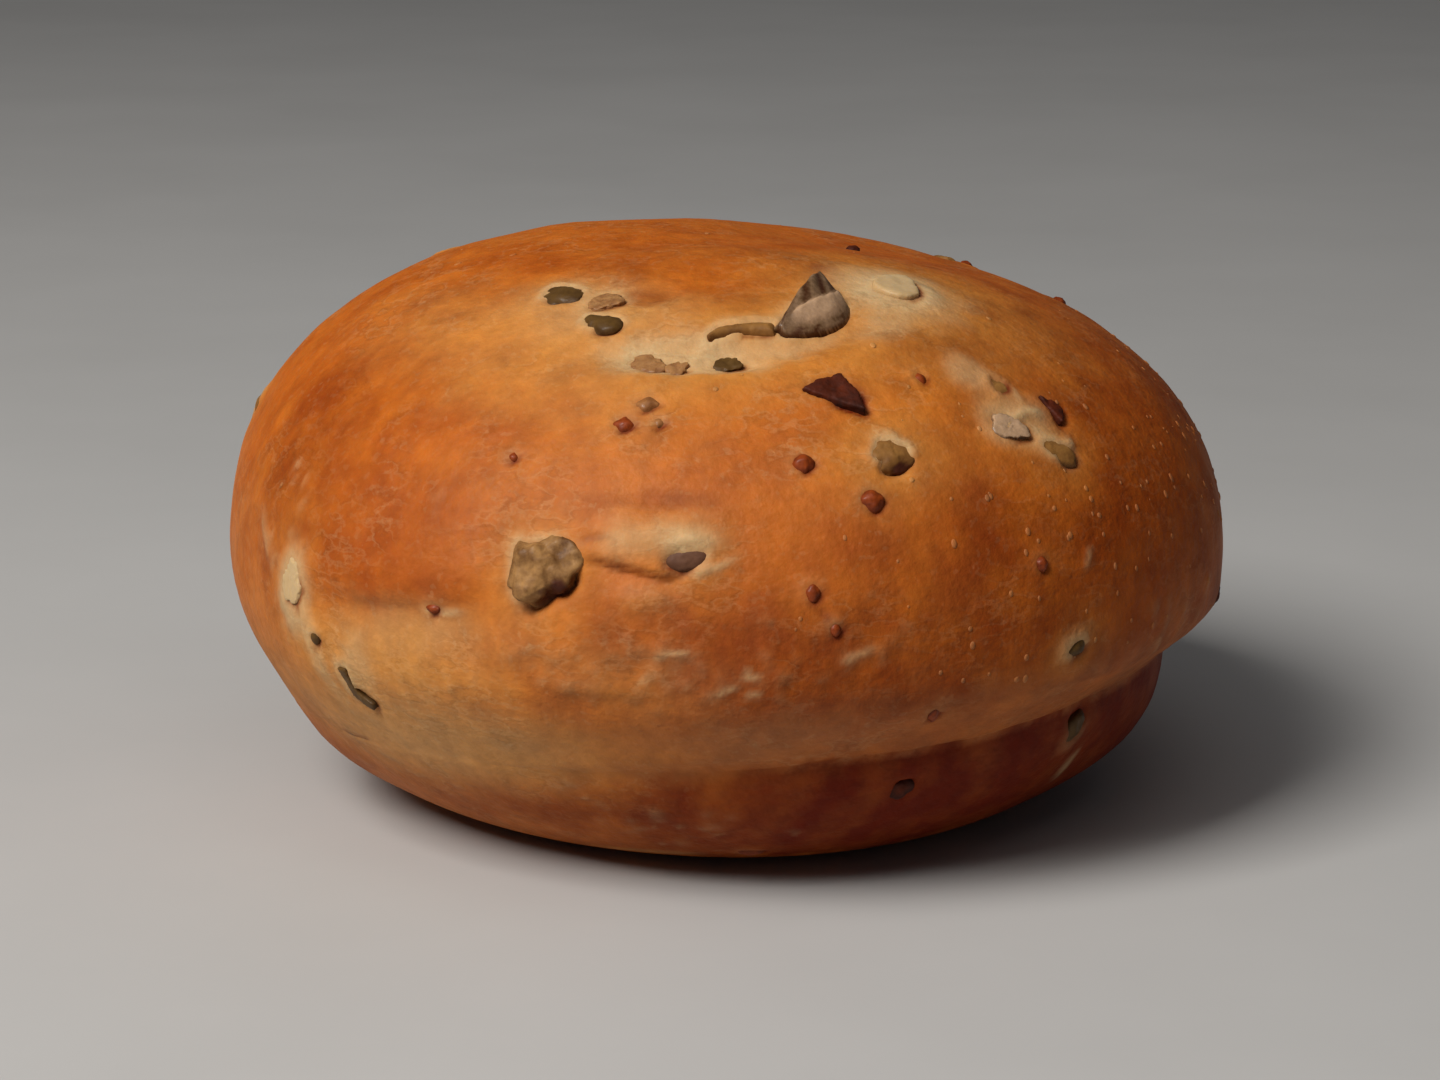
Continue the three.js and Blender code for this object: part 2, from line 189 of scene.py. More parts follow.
@dataclass(frozen=True)
class DoughShape:
    """The plain outer shape of the bread, before its crust is worked.

    The crease starts where the sine of the azimuth passes crisp_from, and is full crisp_run further on. The
    tuck is how far the base draws in below the crease where the crease is smooth, and tuck_swell what it
    gains back where the crease is crisp. The belt's swell and lift and the girth's run are the handles of
    the curve between the lip and the girth.
    """

    foot_radius: float = 24.0
    foot_flare: float = 10.0
    tuck: float = 4.2
    tuck_swell: float = 4.0
    tuck_drop: float = 5.2
    crisp_from: float = -0.6
    crisp_run: float = 0.9
    crease_radius: float = 44.5
    crease_height: float = 14.0
    crease_tilt: float = 3.0
    lip_overhang: float = 0.5
    lip_swing: float = 0.4
    lip_rise: float = 0.5
    belt_swell: float = 2.7
    belt_lift: float = 3.3
    girth_run: float = 6.5
    girth_radius: float = 51.0
    girth_height: float = 26.0
    crown_height: float = 56.5
    crown_fullness: float = 2.15
    fade_height: float = 8.0
    lobes: tuple[Lobe, ...] = LOBES
    shift: tuple[float, float] = (0.0, 0.0)

    @property
    def heart(self) -> Array:
        """The point on the axis at the height of the widest girth."""
        return np.array([*self.shift, self.girth_height])

    def crease(self, azimuth: Array) -> Array:
        """How high the crease lies."""
        return self.crease_height + self.crease_tilt * np.sin(azimuth)

    def outline(self, share: Array, azimuth: Array) -> tuple[Array, Array]:
        """The radius and height of the outline.

        Args:
            share: the place along the outline, from 0 at the foot's middle to 5 at the top.
            azimuth: the direction round the bun, in radians.

        Returns:
            The radius and the height at each place.
        """
        stretch = np.minimum(np.floor(share), Stretch.CROWN.value)
        t = share - stretch
        crease = self.crease(azimuth)
        crisp = self.crispness(azimuth)
        overhang = (self.lip_overhang + self.lip_swing * np.sin(azimuth)) * crisp
        fullest = self.crease_radius - self.tuck + self.tuck_swell * crisp
        shoulder = (crease - self.tuck_drop) * (1 - crisp) + crease / 2 * crisp
        lip_radius = self.crease_radius + overhang
        lip = crease + self.lip_rise
        power = 2.0 / self.crown_fullness
        girth = self.girth_height
        radii = (
            self.foot_radius * t,
            bezier(self.foot_radius, self.foot_radius + self.foot_flare, fullest, self.crease_radius, t),
            self.crease_radius + overhang * t,
            bezier(lip_radius, lip_radius + self.belt_swell, self.girth_radius, self.girth_radius, t),
            self.girth_radius * np.maximum(0.0, np.cos(t * np.pi / 2)) ** power,
        )
        heights = (
            0.0 * t,
            bezier(0.0, 0.0, shoulder, crease, t),
            crease + self.lip_rise * t,
            bezier(lip, lip + self.belt_lift, girth - self.girth_run, girth, t),
            girth + (self.crown_height - girth) * np.sin(t * np.pi / 2) ** power,
        )
        return np.choose(stretch.astype(int), radii), np.choose(stretch.astype(int), heights)

    def crispness(self, azimuth: Array) -> Array:
        """How crisp the crease is: 1 round the +X side, and 0 where the base runs into the belt."""
        return smoothstep((np.sin(azimuth) - self.crisp_from) / self.crisp_run)

    def points(self, share: Array, azimuth: Array) -> Array:
        """The surface points at places along the outline and directions round the bun."""
        radius, height = self.outline(share, azimuth)
        point = np.stack([radius * np.sin(azimuth), -radius * np.cos(azimuth), height], axis=-1)
        facing = unit(point - np.array([0.0, 0.0, self.girth_height]))
        rise = np.zeros(len(point))
        for lobe in self.lobes:
            cosine = facing @ direction(lobe.azimuth, lobe.elevation)
            away = np.degrees(np.arccos(np.clip(cosine, -1.0, 1.0)))
            rise += lobe.rise * np.exp(-((away / lobe.spread) ** 2))
        fade = np.clip(point[:, 2] / self.fade_height, 0.0, 1.0)
        return point + facing * (rise * fade)[:, None] + np.array([*self.shift, 0.0])

    def normals(self, share: Array, azimuth: Array) -> Array:
        """The outward directions at the same places."""
        step = 1e-3
        around = self.points(share, azimuth + step) - self.points(share, azimuth - step)
        above = self.points(np.clip(share + step, 0, TOP), azimuth)
        below = self.points(np.clip(share - step, 0, TOP), azimuth)
        out = unit(np.cross(around, above - below))
        out[share <= step] = (0.0, 0.0, -1.0)
        out[share >= TOP - step] = (0.0, 0.0, 1.0)
        return out

    def centred(self) -> "DoughShape":
        """The same shape with its bounding box centred on the axis."""
        azimuth, share = np.meshgrid(np.radians(np.arange(0, 360, 2.0)), np.linspace(1, TOP, 160))
        cloud = self.points(share.ravel(), azimuth.ravel())
        middle = (cloud.min(axis=0) + cloud.max(axis=0)) / 2
        return replace(self, shift=(float(-middle[0]), float(-middle[1])))

    def seat(self, azimuth: float, elevation: float) -> Seat:
        """The place on the crust that is seen from the heart in one direction, in degrees."""
        share = np.linspace(1.0, 4.98, 1200)
        turn = np.full(len(share), math.radians(azimuth))
        line = self.points(share, turn)
        seen = np.degrees(np.arcsin(np.clip(unit(line - self.heart)[:, 2], -1, 1)))
        best = int(np.argmin(np.abs(seen - elevation)))
        out = self.normals(share[best : best + 1], turn[:1])[0]
        across = unit(np.cross(np.array([0.0, 0.0, 1.0]), out)[None])[0]
        return Seat(line[best], across, np.cross(out, across), out)

    def seat_under(self, point: Array) -> Seat:
        """The seat of a piece whose middle is at a point in space."""
        arm = unit((point - self.heart)[None])[0]
        azimuth = math.degrees(math.atan2(arm[0], -arm[1]))
        return self.seat(azimuth, math.degrees(math.asin(arm[2])))


def direction(azimuth: float, elevation: float) -> Array:
    """The unit vector that points out at an azimuth and elevation in degrees."""
    a, e = math.radians(azimuth), math.radians(elevation)
    return np.array([math.cos(e) * math.sin(a), -math.cos(e) * math.cos(a), math.sin(e)])


# ---------------------------------------------------------------- what is worked into the crust


# The least cosine between the crust and a feature's own direction for the feature to reach that crust.
PATCH_FACING = 0.2
SOCKET_FACING = 0.3


@dataclass
class Skin:
    """The crust's points, and what has been worked into each of them so far."""

    point: Array
    normal: Array
    ragged: Array
    rise: Array = field(init=False)
    pale: Array = field(init=False)
    brown: Array = field(init=False)
    golden: Array = field(init=False)

    def __post_init__(self) -> None:
        """Starts every mask at nothing."""
        for name in ("rise", "pale", "brown", "golden"):
            setattr(self, name, np.zeros(len(self.point)))

    def add(self, mask: Array, rise: float, pale: float, brown: float, golden: float) -> None:
        """Works a mask in: the rise adds up, and the tints blend towards their values.

        A tint below zero takes that much of what is there away.
        """
        self.rise += mask * rise
        for name, value in (("pale", pale), ("brown", brown), ("golden", golden)):
            old = getattr(self, name)
            setattr(self, name, old + mask * (value * (1 - old) if value >= 0 else value * old))

    def spread(self, near: Array, values: Array) -> Array:
        """A mask with values at the near points, and zero at all others."""
        mask = np.zeros(len(self.point))
        mask[near] = values
        return mask


@dataclass(frozen=True)
class Patch:
    """A soft-edged oval area of the crust with its own level and tint."""

    azimuth: float
    elevation: float
    length: float
    width: float
    turn: float = 0.0
    edge: float = 0.5
    ragged: float = 0.2
    rise: float = 0.0
    pale: float = 0.0
    brown: float = 0.0
    golden: float = 0.0

    def apply(self, skin: Skin, shape: DoughShape) -> None:
        """Works the patch into the skin."""
        seat = shape.seat(self.azimuth, self.elevation)
        arm = skin.point - seat.centre
        turn = math.radians(self.turn)
        x, y = arm @ seat.across, arm @ seat.along
        u = (x * math.cos(turn) + y * math.sin(turn)) / (self.length / 2)
        v = (y * math.cos(turn) - x * math.sin(turn)) / (self.width / 2)
        away = np.hypot(u, v) + self.ragged * skin.ragged
        mask = 1.0 - smoothstep((away - (1 - self.edge)) / (2 * self.edge))
        mask *= skin.normal @ seat.out > PATCH_FACING
        skin.add(mask, self.rise, self.pale, self.brown, self.golden)


@dataclass(frozen=True)
class Stroke:
    """A line along the crust: a fold, a lip, a wrinkle or a scratch.

    The step is how much higher the crust stands on the upper side of the line than on its lower side, and
    the reach is how far from the line that takes to die out. The corners of the path are cut in rounds, each
    at a share of the run to the next corner.
    """

    path: tuple[tuple[float, float], ...]
    width: float
    rise: float = 0.0
    step: float = 0.0
    reach: float = 5.0
    pale: float = 0.0
    brown: float = 0.0
    golden: float = 0.0
    ragged: float = 0.3
    taper: float = 0.25
    corner_cut: float = 0.25
    corner_rounds: int = 3

    def line(self, shape: DoughShape) -> tuple[Array, Array]:
        """The rounded line as points on the crust, and the outward direction at each."""
        path = np.array(self.path, dtype=float)
        far, near = self.corner_cut, 1 - self.corner_cut
        for _ in range(self.corner_rounds):
            if len(path) > 2:
                cut = np.stack([near * path[:-1] + far * path[1:], far * path[:-1] + near * path[1:]], axis=1)
                path = np.concatenate([path[:1], cut.reshape(-1, 2)[1:-1], path[-1:]])
        seats = [shape.seat(azimuth, elevation) for azimuth, elevation in path]
        return np.array([s.centre for s in seats]), np.array([s.out for s in seats])

    def apply(self, skin: Skin, shape: DoughShape) -> None:
        """Works the stroke into the skin."""
        line, out = self.line(shape)
        reach = max(self.width, self.reach) * 3
        middle = (line.min(axis=0) + line.max(axis=0)) / 2
        radius = np.linalg.norm(line - middle, axis=1).max() + reach
        near = np.flatnonzero(np.linalg.norm(skin.point - middle, axis=1) < radius)
        best = np.full(len(near), 1e9)
        side = np.zeros(len(near))
        along = np.zeros(len(near))
        for i in range(len(line) - 1):
            run = line[i + 1] - line[i]
            arm = skin.point[near] - line[i]
            t = np.clip(arm @ run / (run @ run), 0, 1)
            gap = arm - t[:, None] * run
            distance = np.linalg.norm(gap, axis=1)
            closer = distance < best
            best[closer] = distance[closer]
            side[closer] = (gap @ unit(np.cross(out[i], run)[None])[0])[closer]
            along[closer] = ((i + t) / (len(line) - 1))[closer]
        taper = smoothstep(along / self.taper) * smoothstep((1 - along) / self.taper)
        wobble = 1 + self.ragged * skin.ragged[near]
        mask = skin.spread(near, np.exp(-((best / (self.width * wobble)) ** 2)) * taper)
        skin.add(mask, self.rise, self.pale, self.brown, self.golden)
        fading = np.exp(-((best / self.reach) ** 2))
        skin.rise[near] += self.step / 2 * np.tanh(side / self.width) * fading * taper


@dataclass(frozen=True)
class Scuffs:
    """Short flaky creases of dry skin, scattered over an area."""

    azimuth: float
    elevation: float
    spread: tuple[float, float]
    count: int
    slant: float
    seed: int
    run: tuple[float, float] = (1.2, 4.0)
    pale: float = 0.45
    rise: float = 0.14
    scatter: float = 0.5
    turn_scatter: float = 24.0
    bend: float = 0.22
    strength: tuple[float, float] = (0.4, 1.0)
    width: tuple[float, float] = (0.25, 0.6)

    def strokes(self) -> list[Stroke]:
        """The creases, each a bent line of its own length, turn and strength."""
        chance = np.random.default_rng(self.seed)
        made = []
        for _ in range(self.count):
            offset = chance.normal(0, self.scatter, 2) * self.spread
            middle = np.array([self.azimuth, self.elevation]) + offset
            turn = math.radians(self.slant + chance.normal(0, self.turn_scatter))
            along = np.array([math.cos(turn), math.sin(turn)]) * chance.uniform(*self.run)
            bend = np.array([-along[1], along[0]]) * chance.normal(0, self.bend)
            places = (middle - along, middle + bend, middle + along)
            path = tuple(tuple(map(float, place)) for place in places)
            strength = chance.uniform(*self.strength)
            made.append(
                Stroke(
                    path,
                    float(chance.uniform(*self.width)),
                    self.rise * strength,
                    step=self.rise * strength,
                    reach=1.2,
                    pale=self.pale * strength,
                    ragged=0.6,
                    taper=0.4,
                )
            )
        return made


@dataclass(frozen=True)
class Socket:
    """The soft hollow that a piece sits in: dough hugs it on one side and gapes on the other.

    The outline is the piece's own points where it leaves the dough, laid flat across and along the seat. The
    gape faces one way round the bun, given in degrees from across towards along. The pairs that say where
    the gap lies and how wide it is are a length without a gape and what a full gape adds.
    """

    seat: Seat
    outline: Array
    bed: "Bedding"
    ledge: float = 0.02
    wall: float = 0.2
    open_from: float = 0.55
    open_run: float = 0.4
    gap_middle: tuple[float, float] = (0.22, 0.10)
    gap_width: tuple[float, float] = (0.34, 0.26)
    rim_middle: float = 0.45
    rim_width: float = 0.55
    rim_broken: float = 0.9
    glow_reach: float = 3.8
    seam_width: float = 0.22

    @property
    def reach(self) -> float:
        """How far the outline reaches from the seat."""
        return float(np.linalg.norm(self.outline, axis=1).max())

    def apply(self, skin: Skin, shape: DoughShape) -> None:
        """Works the socket into the skin."""
        bed = self.bed
        arm = skin.point - self.seat.centre
        limit = self.reach + 5 * bed.reach + 2
        facing = skin.normal @ self.seat.out > SOCKET_FACING
        near = np.flatnonzero((np.linalg.norm(arm, axis=1) < limit) & facing)
        x, y = arm[near] @ self.seat.across, arm[near] @ self.seat.along
        tree = kd_tree(np.column_stack([self.outline, np.zeros(len(self.outline))]))
        gap = np.array([tree.find((u, v, 0.0))[2] for u, v in zip(x, y)])
        ragged = skin.ragged[near]
        gape = math.radians(bed.gape_side)
        side = 0.5 + 0.5 * (x * math.cos(gape) + y * math.sin(gape)) / np.maximum(np.hypot(x, y), 1e-3)
        inside = 1 - smoothstep((gap - self.ledge) / self.wall)
        open_side = smoothstep((side - self.open_from) / self.open_run)
        past_gap = gap - self.gap_middle[0] - self.gap_middle[1] * bed.gape
        gap_width = self.gap_width[0] + self.gap_width[1] * bed.gape
        gaping = np.exp(-((past_gap / gap_width) ** 2)) * open_side
        rim = np.exp(-(((gap - self.rim_middle) / self.rim_width) ** 2)) * (1 - self.rim_broken * open_side)
        reach = bed.reach * (1 + 0.5 * ragged) * (1.3 - 0.7 * side)
        halo = np.exp(-((gap / reach) ** 2))
        glow = np.exp(-((gap / (self.glow_reach * bed.reach)) ** 2)) * (1 + 0.3 * ragged)
        skin.rise += skin.spread(near, bed.rim * rim - bed.depth * inside - bed.gape * gaping)
        tints = (
            (np.clip(glow, 0, 1), 0.0, -0.4 * bed.halo, 0.75 * bed.halo),
            (halo, bed.halo, -0.5 * bed.halo, 0.0),
            (np.exp(-((gap / self.seam_width) ** 2)), -0.15, 0.15, 0.0),
            # The gaping tint is a painted shadow: the open gap beside the bit is browned nearly to russet.
            (gaping, -0.9, 0.95, 0.0),
        )
        for strength, pale, brown, golden in tints:
            skin.add(skin.spread(near, strength), 0.0, pale, brown, golden)


# ---------------------------------------------------------------- shader building


# The fold lines of the crust get thinner as this grows, and a bit is darkened towards the painted contact
# shade tone where it is sunk.
FOLD_SHARPNESS = 26.0
CONTACT_SHADE_TONE = (0.055, 0.009, 0.004)


class Tree:
    """Adds nodes to a node tree and joins them in short calls."""

    def __init__(self, tree: bpy.types.NodeTree) -> None:
        """Keeps the tree to add to."""
        self.tree = tree

    def add(self, kind: str, inputs: dict | None = None, **settings: object) -> bpy.types.Node:
        """Adds a node.

        Args:
            kind: the node's type name.
            inputs: socket name or index to a value, or to another node's output socket to link.
            settings: properties of the node.

        Returns:
            The new node.
        """
        node = self.tree.nodes.new(kind)
        for name, value in settings.items():
            setattr(node, name, value)
        for name, value in (inputs or {}).items():
            if isinstance(value, bpy.types.NodeSocket):
                self.tree.links.new(value, node.inputs[name])
            else:
                node.inputs[name].default_value = value
        return node

    def math(self, operation: str, a: object, b: object = 0.0, clamp: bool = False) -> bpy.types.NodeSocket:
        """The result of an arithmetic step on two values or sockets."""
        return self.add("ShaderNodeMath", {0: a, 1: b}, operation=operation, use_clamp=clamp).outputs[0]

    def mix(self, factor: object, a: object, b: object, blend: str = "MIX") -> bpy.types.NodeSocket:
        """The colour between a and b at a factor."""
        pair = {0: factor, 6: rgba(a), 7: rgba(b)}
        return self.add("ShaderNodeMix", pair, data_type="RGBA", blend_type=blend).outputs[2]

    def scaled(self, vector: bpy.types.NodeSocket, sizes: tuple) -> bpy.types.NodeSocket:
        """A vector with each part multiplied by its own size."""
        return self.add("ShaderNodeVectorMath", {0: vector, 1: sizes}, operation="MULTIPLY").outputs[0]

    def group(self, group: bpy.types.NodeTree, inputs: dict) -> bpy.types.Node:
        """Places a node group."""
        filled = {name: rgba(value) for name, value in inputs.items()}
        return self.add("ShaderNodeGroup", filled, node_tree=group)


def rgba(value: object) -> object:
    """Gives a three-part colour its fourth part, and leaves anything else as it is."""
    return (*value, 1.0) if isinstance(value, tuple) and len(value) == 3 else value


def new_group(name: str, inputs: dict[str, tuple[str, object]], outputs: dict[str, str]) -> tuple:
    """Starts a shader node group.

    Args:
        name: the group's name.
        inputs: socket name to its kind (Vector, Float or Color) and default.
        outputs: socket name to its kind.

    Returns:
        The group, its tree helper, its input node and its output node.
    """
    group = bpy.data.node_groups.new(name, "ShaderNodeTree")
    for label, (kind, default) in inputs.items():
        socket = group.interface.new_socket(name=label, in_out="INPUT", socket_type=f"NodeSocket{kind}")
        if default is not None:
            socket.default_value = rgba(default)
    for label, kind in outputs.items():
        group.interface.new_socket(name=label, in_out="OUTPUT", socket_type=f"NodeSocket{kind}")
    return group, Tree(group), group.nodes.new("NodeGroupInput"), group.nodes.new("NodeGroupOutput")


def build_mottle_group() -> bpy.types.NodeTree:
    """A soft-edged blotch mask: how wide the blotches are in millimetres, and how crisp."""
    sockets = {
        "Vector": ("Vector", None),
        "Size": ("Float", 10.0),
        "Detail": ("Float", 3.0),
        "Contrast": ("Float", 2.0),
        "Level": ("Float", 0.5),
    }
    group, tree, source, sink = new_group("Mottle", sockets, {"Mask": "Float"})
    scale = tree.math("DIVIDE", 1 / MM, source.outputs["Size"])
    pattern = tree.add(
        "ShaderNodeTexNoise",
        {
            "Vector": source.outputs["Vector"],
            "Scale": scale,
            "Detail": source.outputs["Detail"],
            "Roughness": 0.55,
        },
    )
    centred = tree.math("SUBTRACT", pattern.outputs["Fac"], source.outputs["Level"])
    spread = tree.math("MULTIPLY", centred, source.outputs["Contrast"])
    mask = tree.math("ADD", spread, 0.5, clamp=True)
    group.links.new(mask, sink.inputs["Mask"])
    return group


def build_grain_group(mottle: bpy.types.NodeTree) -> bpy.types.NodeTree:
    """The fine relief of a skin: shallow creases, grain and pits, as a height between 0 and 1."""
    sockets = {"Vector": ("Vector", None), "Size": ("Float", 1.0), "Pits": ("Float", 0.3)}
    group, tree, source, sink = new_group("Fine grain", sockets, {"Height": "Float"})
    vector, size = source.outputs["Vector"], source.outputs["Size"]
    coarse = tree.group(mottle, {"Vector": vector, "Size": tree.math("MULTIPLY", size, 3.0), "Detail": 4.0})
    fine = tree.group(mottle, {"Vector": vector, "Size": size, "Detail": 2.0, "Contrast": 1.5})
    scale = tree.math("DIVIDE", 700.0, size)
    cells = tree.add("ShaderNodeTexVoronoi", {"Vector": vector, "Scale": scale}, feature="SMOOTH_F1")
    pit = tree.math("MULTIPLY", tree.math("SUBTRACT", 0.45, cells.outputs["Distance"], clamp=True), 2.0)
    lumps = tree.math("MULTIPLY", coarse.outputs[0], 0.6)
    relief = tree.math("ADD", lumps, tree.math("MULTIPLY", fine.outputs[0], 0.4))
    height = tree.math("SUBTRACT", relief, tree.math("MULTIPLY", pit, source.outputs["Pits"]))
    group.links.new(height, sink.inputs["Height"])
    return group


def fold_line(tree: Tree, folds: bpy.types.NodeSocket, level: float) -> bpy.types.NodeSocket:
    """A mask that is 1 on a thin line, where a pattern passes a level."""
    away = tree.math("ABSOLUTE", tree.math("SUBTRACT", folds, level))
    return tree.math("SUBTRACT", 1.0, tree.math("MULTIPLY", away, FOLD_SHARPNESS), clamp=True)


def build_crust_group(mottle: bpy.types.NodeTree) -> bpy.types.NodeTree:
    """The baked crust's colour and roughness from its pale, brown and golden masks."""
    sockets = {
        "Vector": ("Vector", None),
        "Pale": ("Float", 0.0),
        "Brown": ("Float", 0.0),
        "Golden": ("Float", 0.0),
        "Amber": ("Color", (0.56, 0.150, 0.014)),
        "Deep amber": ("Color", (0.43, 0.078, 0.003)),
        "Russet": ("Color", (0.145, 0.011, 0.0003)),
        "Straw": ("Color", (0.60, 0.235, 0.040)),
        "Dough": ("Color", (0.58, 0.385, 0.190)),
    }
    group, tree, source, sink = new_group("Baked crust", sockets, {"Colour": "Color", "Roughness": "Float"})
    vector = source.outputs["Vector"]
    broad = tree.group(mottle, {"Vector": vector, "Size": 22.0, "Detail": 3.0, "Contrast": 2.6}).outputs[0]
    small = tree.group(mottle, {"Vector": vector, "Size": 5.0, "Detail": 5.0, "Contrast": 2.2}).outputs[0]
    freckle = tree.group(mottle, {"Vector": vector, "Size": 1.3, "Detail": 2.0, "Contrast": 3.0}).outputs[0]
    drawn = tree.scaled(vector, (1.0, 1.0, 0.22))
    streak = tree.group(mottle, {"Vector": drawn, "Size": 2.2, "Detail": 3.0, "Contrast": 2.4}).outputs[0]
    fine = tree.math("MULTIPLY", small, 0.4)
    amount = tree.math("ADD", tree.math("MULTIPLY", broad, 0.55), fine, clamp=True)
    amber = tree.mix(amount, source.outputs["Amber"], source.outputs["Deep amber"])
    straw = tree.mix(source.outputs["Golden"], amber, source.outputs["Straw"])
    patchy = tree.math("SUBTRACT", small, 0.5)
    uneven = tree.math("ADD", source.outputs["Brown"], tree.math("MULTIPLY", patchy, 0.45))
    kept = tree.math("MULTIPLY", uneven, tree.math("GREATER_THAN", source.outputs["Brown"], 0.01), clamp=True)
    browned = tree.mix(kept, straw, source.outputs["Russet"])
    blotch = tree.math("MULTIPLY", tree.math("MULTIPLY", patchy, 0.35), source.outputs["Pale"])
    dough = tree.math("ADD", source.outputs["Pale"], blotch, clamp=True)
    speck = tree.group(mottle, {"Vector": vector, "Size": 0.8, "Detail": 1.0, "Contrast": 3.0}).outputs[0]
    bright = tree.math("MULTIPLY", tree.math("SUBTRACT", speck, 0.86, clamp=True), small)
    unburnt = tree.math("SUBTRACT", 1.0, source.outputs["Brown"], clamp=True)
    level = tree.scaled(vector, (1.0, 1.0, 2.2))
    folds = tree.group(mottle, {"Vector": level, "Size": 4.0, "Detail": 4.0, "Contrast": 1.0}).outputs[0]
    islands = {"Vector": vector, "Size": 8.0, "Detail": 1.0, "Contrast": 5.0, "Level": 0.52}
    where = tree.group(mottle, islands).outputs[0]
    crest, trough_shade = (fold_line(tree, folds, at) for at in (0.50, 0.455))
    bright = tree.math("ADD", bright, tree.math("MULTIPLY", tree.math("MULTIPLY", crest, where), 0.16))
    dough = tree.math("ADD", dough, tree.math("MULTIPLY", bright, unburnt), clamp=True)
    coloured = tree.mix(dough, browned, source.outputs["Dough"])
    shade = tree.math("ADD", 0.86, tree.math("MULTIPLY", freckle, 0.14))
    shade = tree.math("ADD", shade, tree.math("MULTIPLY", streak, 0.14))
    # Painted shade: a dark line just beside each pale fold crest, where the fold lies in shade.
    shade = tree.math("SUBTRACT", shade, tree.math("MULTIPLY", tree.math("MULTIPLY", trough_shade, where), 0.14))
    tinted = tree.add("ShaderNodeVectorMath", {0: coloured, "Scale": shade}, operation="SCALE")
    group.links.new(tinted.outputs[0], sink.inputs["Colour"])
    rough = tree.math("ADD", 0.42, tree.math("MULTIPLY", small, 0.16))
    dry = tree.math("MAXIMUM", source.outputs["Golden"], source.outputs["Brown"])
    matt = tree.math("MULTIPLY", dry, 0.16)
    group.links.new(tree.math("ADD", rough, matt, clamp=True), sink.inputs["Roughness"])
    return group


def build_flesh_group(mottle: bpy.types.NodeTree) -> bpy.types.NodeTree:
    """The colour, roughness and height of a bit of vegetable or seed, between a light and a dark tone."""
    sockets = {
        "Vector": ("Vector", None),
        "Crest": ("Float", 0.5),
        "Light": ("Color", (0.5, 0.5, 0.5)),
        "Dark": ("Color", (0.1, 0.1, 0.1)),
        "Size": ("Float", 1.5),
        "Roughness": ("Float", 0.35),
        "Patchiness": ("Float", 0.55),
    }
    outputs = {"Colour": "Color", "Roughness": "Float", "Height": "Float"}
    group, tree, source, sink = new_group("Flesh", sockets, outputs)
    vector, size = source.outputs["Vector"], source.outputs["Size"]
    blotch = tree.group(mottle, {"Vector": vector, "Size": size, "Detail": 4.0, "Contrast": 3.2}).outputs[0]
    streak = tree.group(
        mottle, {"Vector": vector, "Size": tree.math("MULTIPLY", size, 0.35), "Detail": 3.0, "Contrast": 2.0}
    ).outputs[0]
    patchiness = source.outputs["Patchiness"]
    spots = tree.math("MULTIPLY", blotch, patchiness)
    amount = tree.math("ADD", spots, tree.math("MULTIPLY", streak, 0.20), clamp=True)
    weight = tree.math("SUBTRACT", 1.0, patchiness)
    # Painted shade: where the crest is low the bit leans to its dark tone. On the folded skin the crest is
    # instead the blade's own darker tone.
    low = tree.math("MULTIPLY", tree.math("SUBTRACT", 1.0, source.outputs["Crest"]), weight)
    amount = tree.math("ADD", amount, low, clamp=True)
    # Painted contact shade: where the crest is near nothing, the bit is darkened towards the contact shade
    # tone.
    deep = tree.math("SUBTRACT", 1.0, tree.math("MULTIPLY", source.outputs["Crest"], 4.0, clamp=True))
    toned = tree.mix(amount, source.outputs["Light"], source.outputs["Dark"])
    shaded = tree.mix(tree.math("MULTIPLY", deep, 0.9), toned, CONTACT_SHADE_TONE)
    group.links.new(shaded, sink.inputs["Colour"])
    rough = tree.math("ADD", source.outputs["Roughness"], tree.math("MULTIPLY", streak, 0.18))
    group.links.new(rough, sink.inputs["Roughness"])
    height = tree.math("ADD", tree.math("MULTIPLY", blotch, 0.7), tree.math("MULTIPLY", streak, 0.3))
    group.links.new(height, sink.inputs["Height"])
    return group


@dataclass(frozen=True)
class ShaderKit:
    """The shared node groups."""

    mottle: bpy.types.NodeTree
    grain: bpy.types.NodeTree
    crust: bpy.types.NodeTree
    flesh: bpy.types.NodeTree

    @classmethod
    def build(cls) -> "ShaderKit":
        """Builds each group once."""
        mottle = build_mottle_group()
        return cls(mottle, build_grain_group(mottle), build_crust_group(mottle), build_flesh_group(mottle))


def start_material(name: str) -> tuple[bpy.types.Material, Tree, bpy.types.Node, bpy.types.NodeSocket]:
    """Makes a material and gives its tree, its shader and its Object coordinates."""
    material = bpy.data.materials.new(name)
    material.use_nodes = True
    tree = Tree(material.node_tree)
    shader = material.node_tree.nodes["Principled BSDF"]
    return material, tree, shader, tree.add("ShaderNodeTexCoord").outputs["Object"]


def add_bump(tree: Tree, shader: bpy.types.Node, height: bpy.types.NodeSocket, depth: float) -> None:
    """Feeds a height to the shader's Normal, with its full depth in millimetres."""
    bump = tree.add("ShaderNodeBump", {"Strength": 1.0, "Distance": depth * MM, "Height": height})
    tree.tree.links.new(bump.outputs["Normal"], shader.inputs["Normal"])


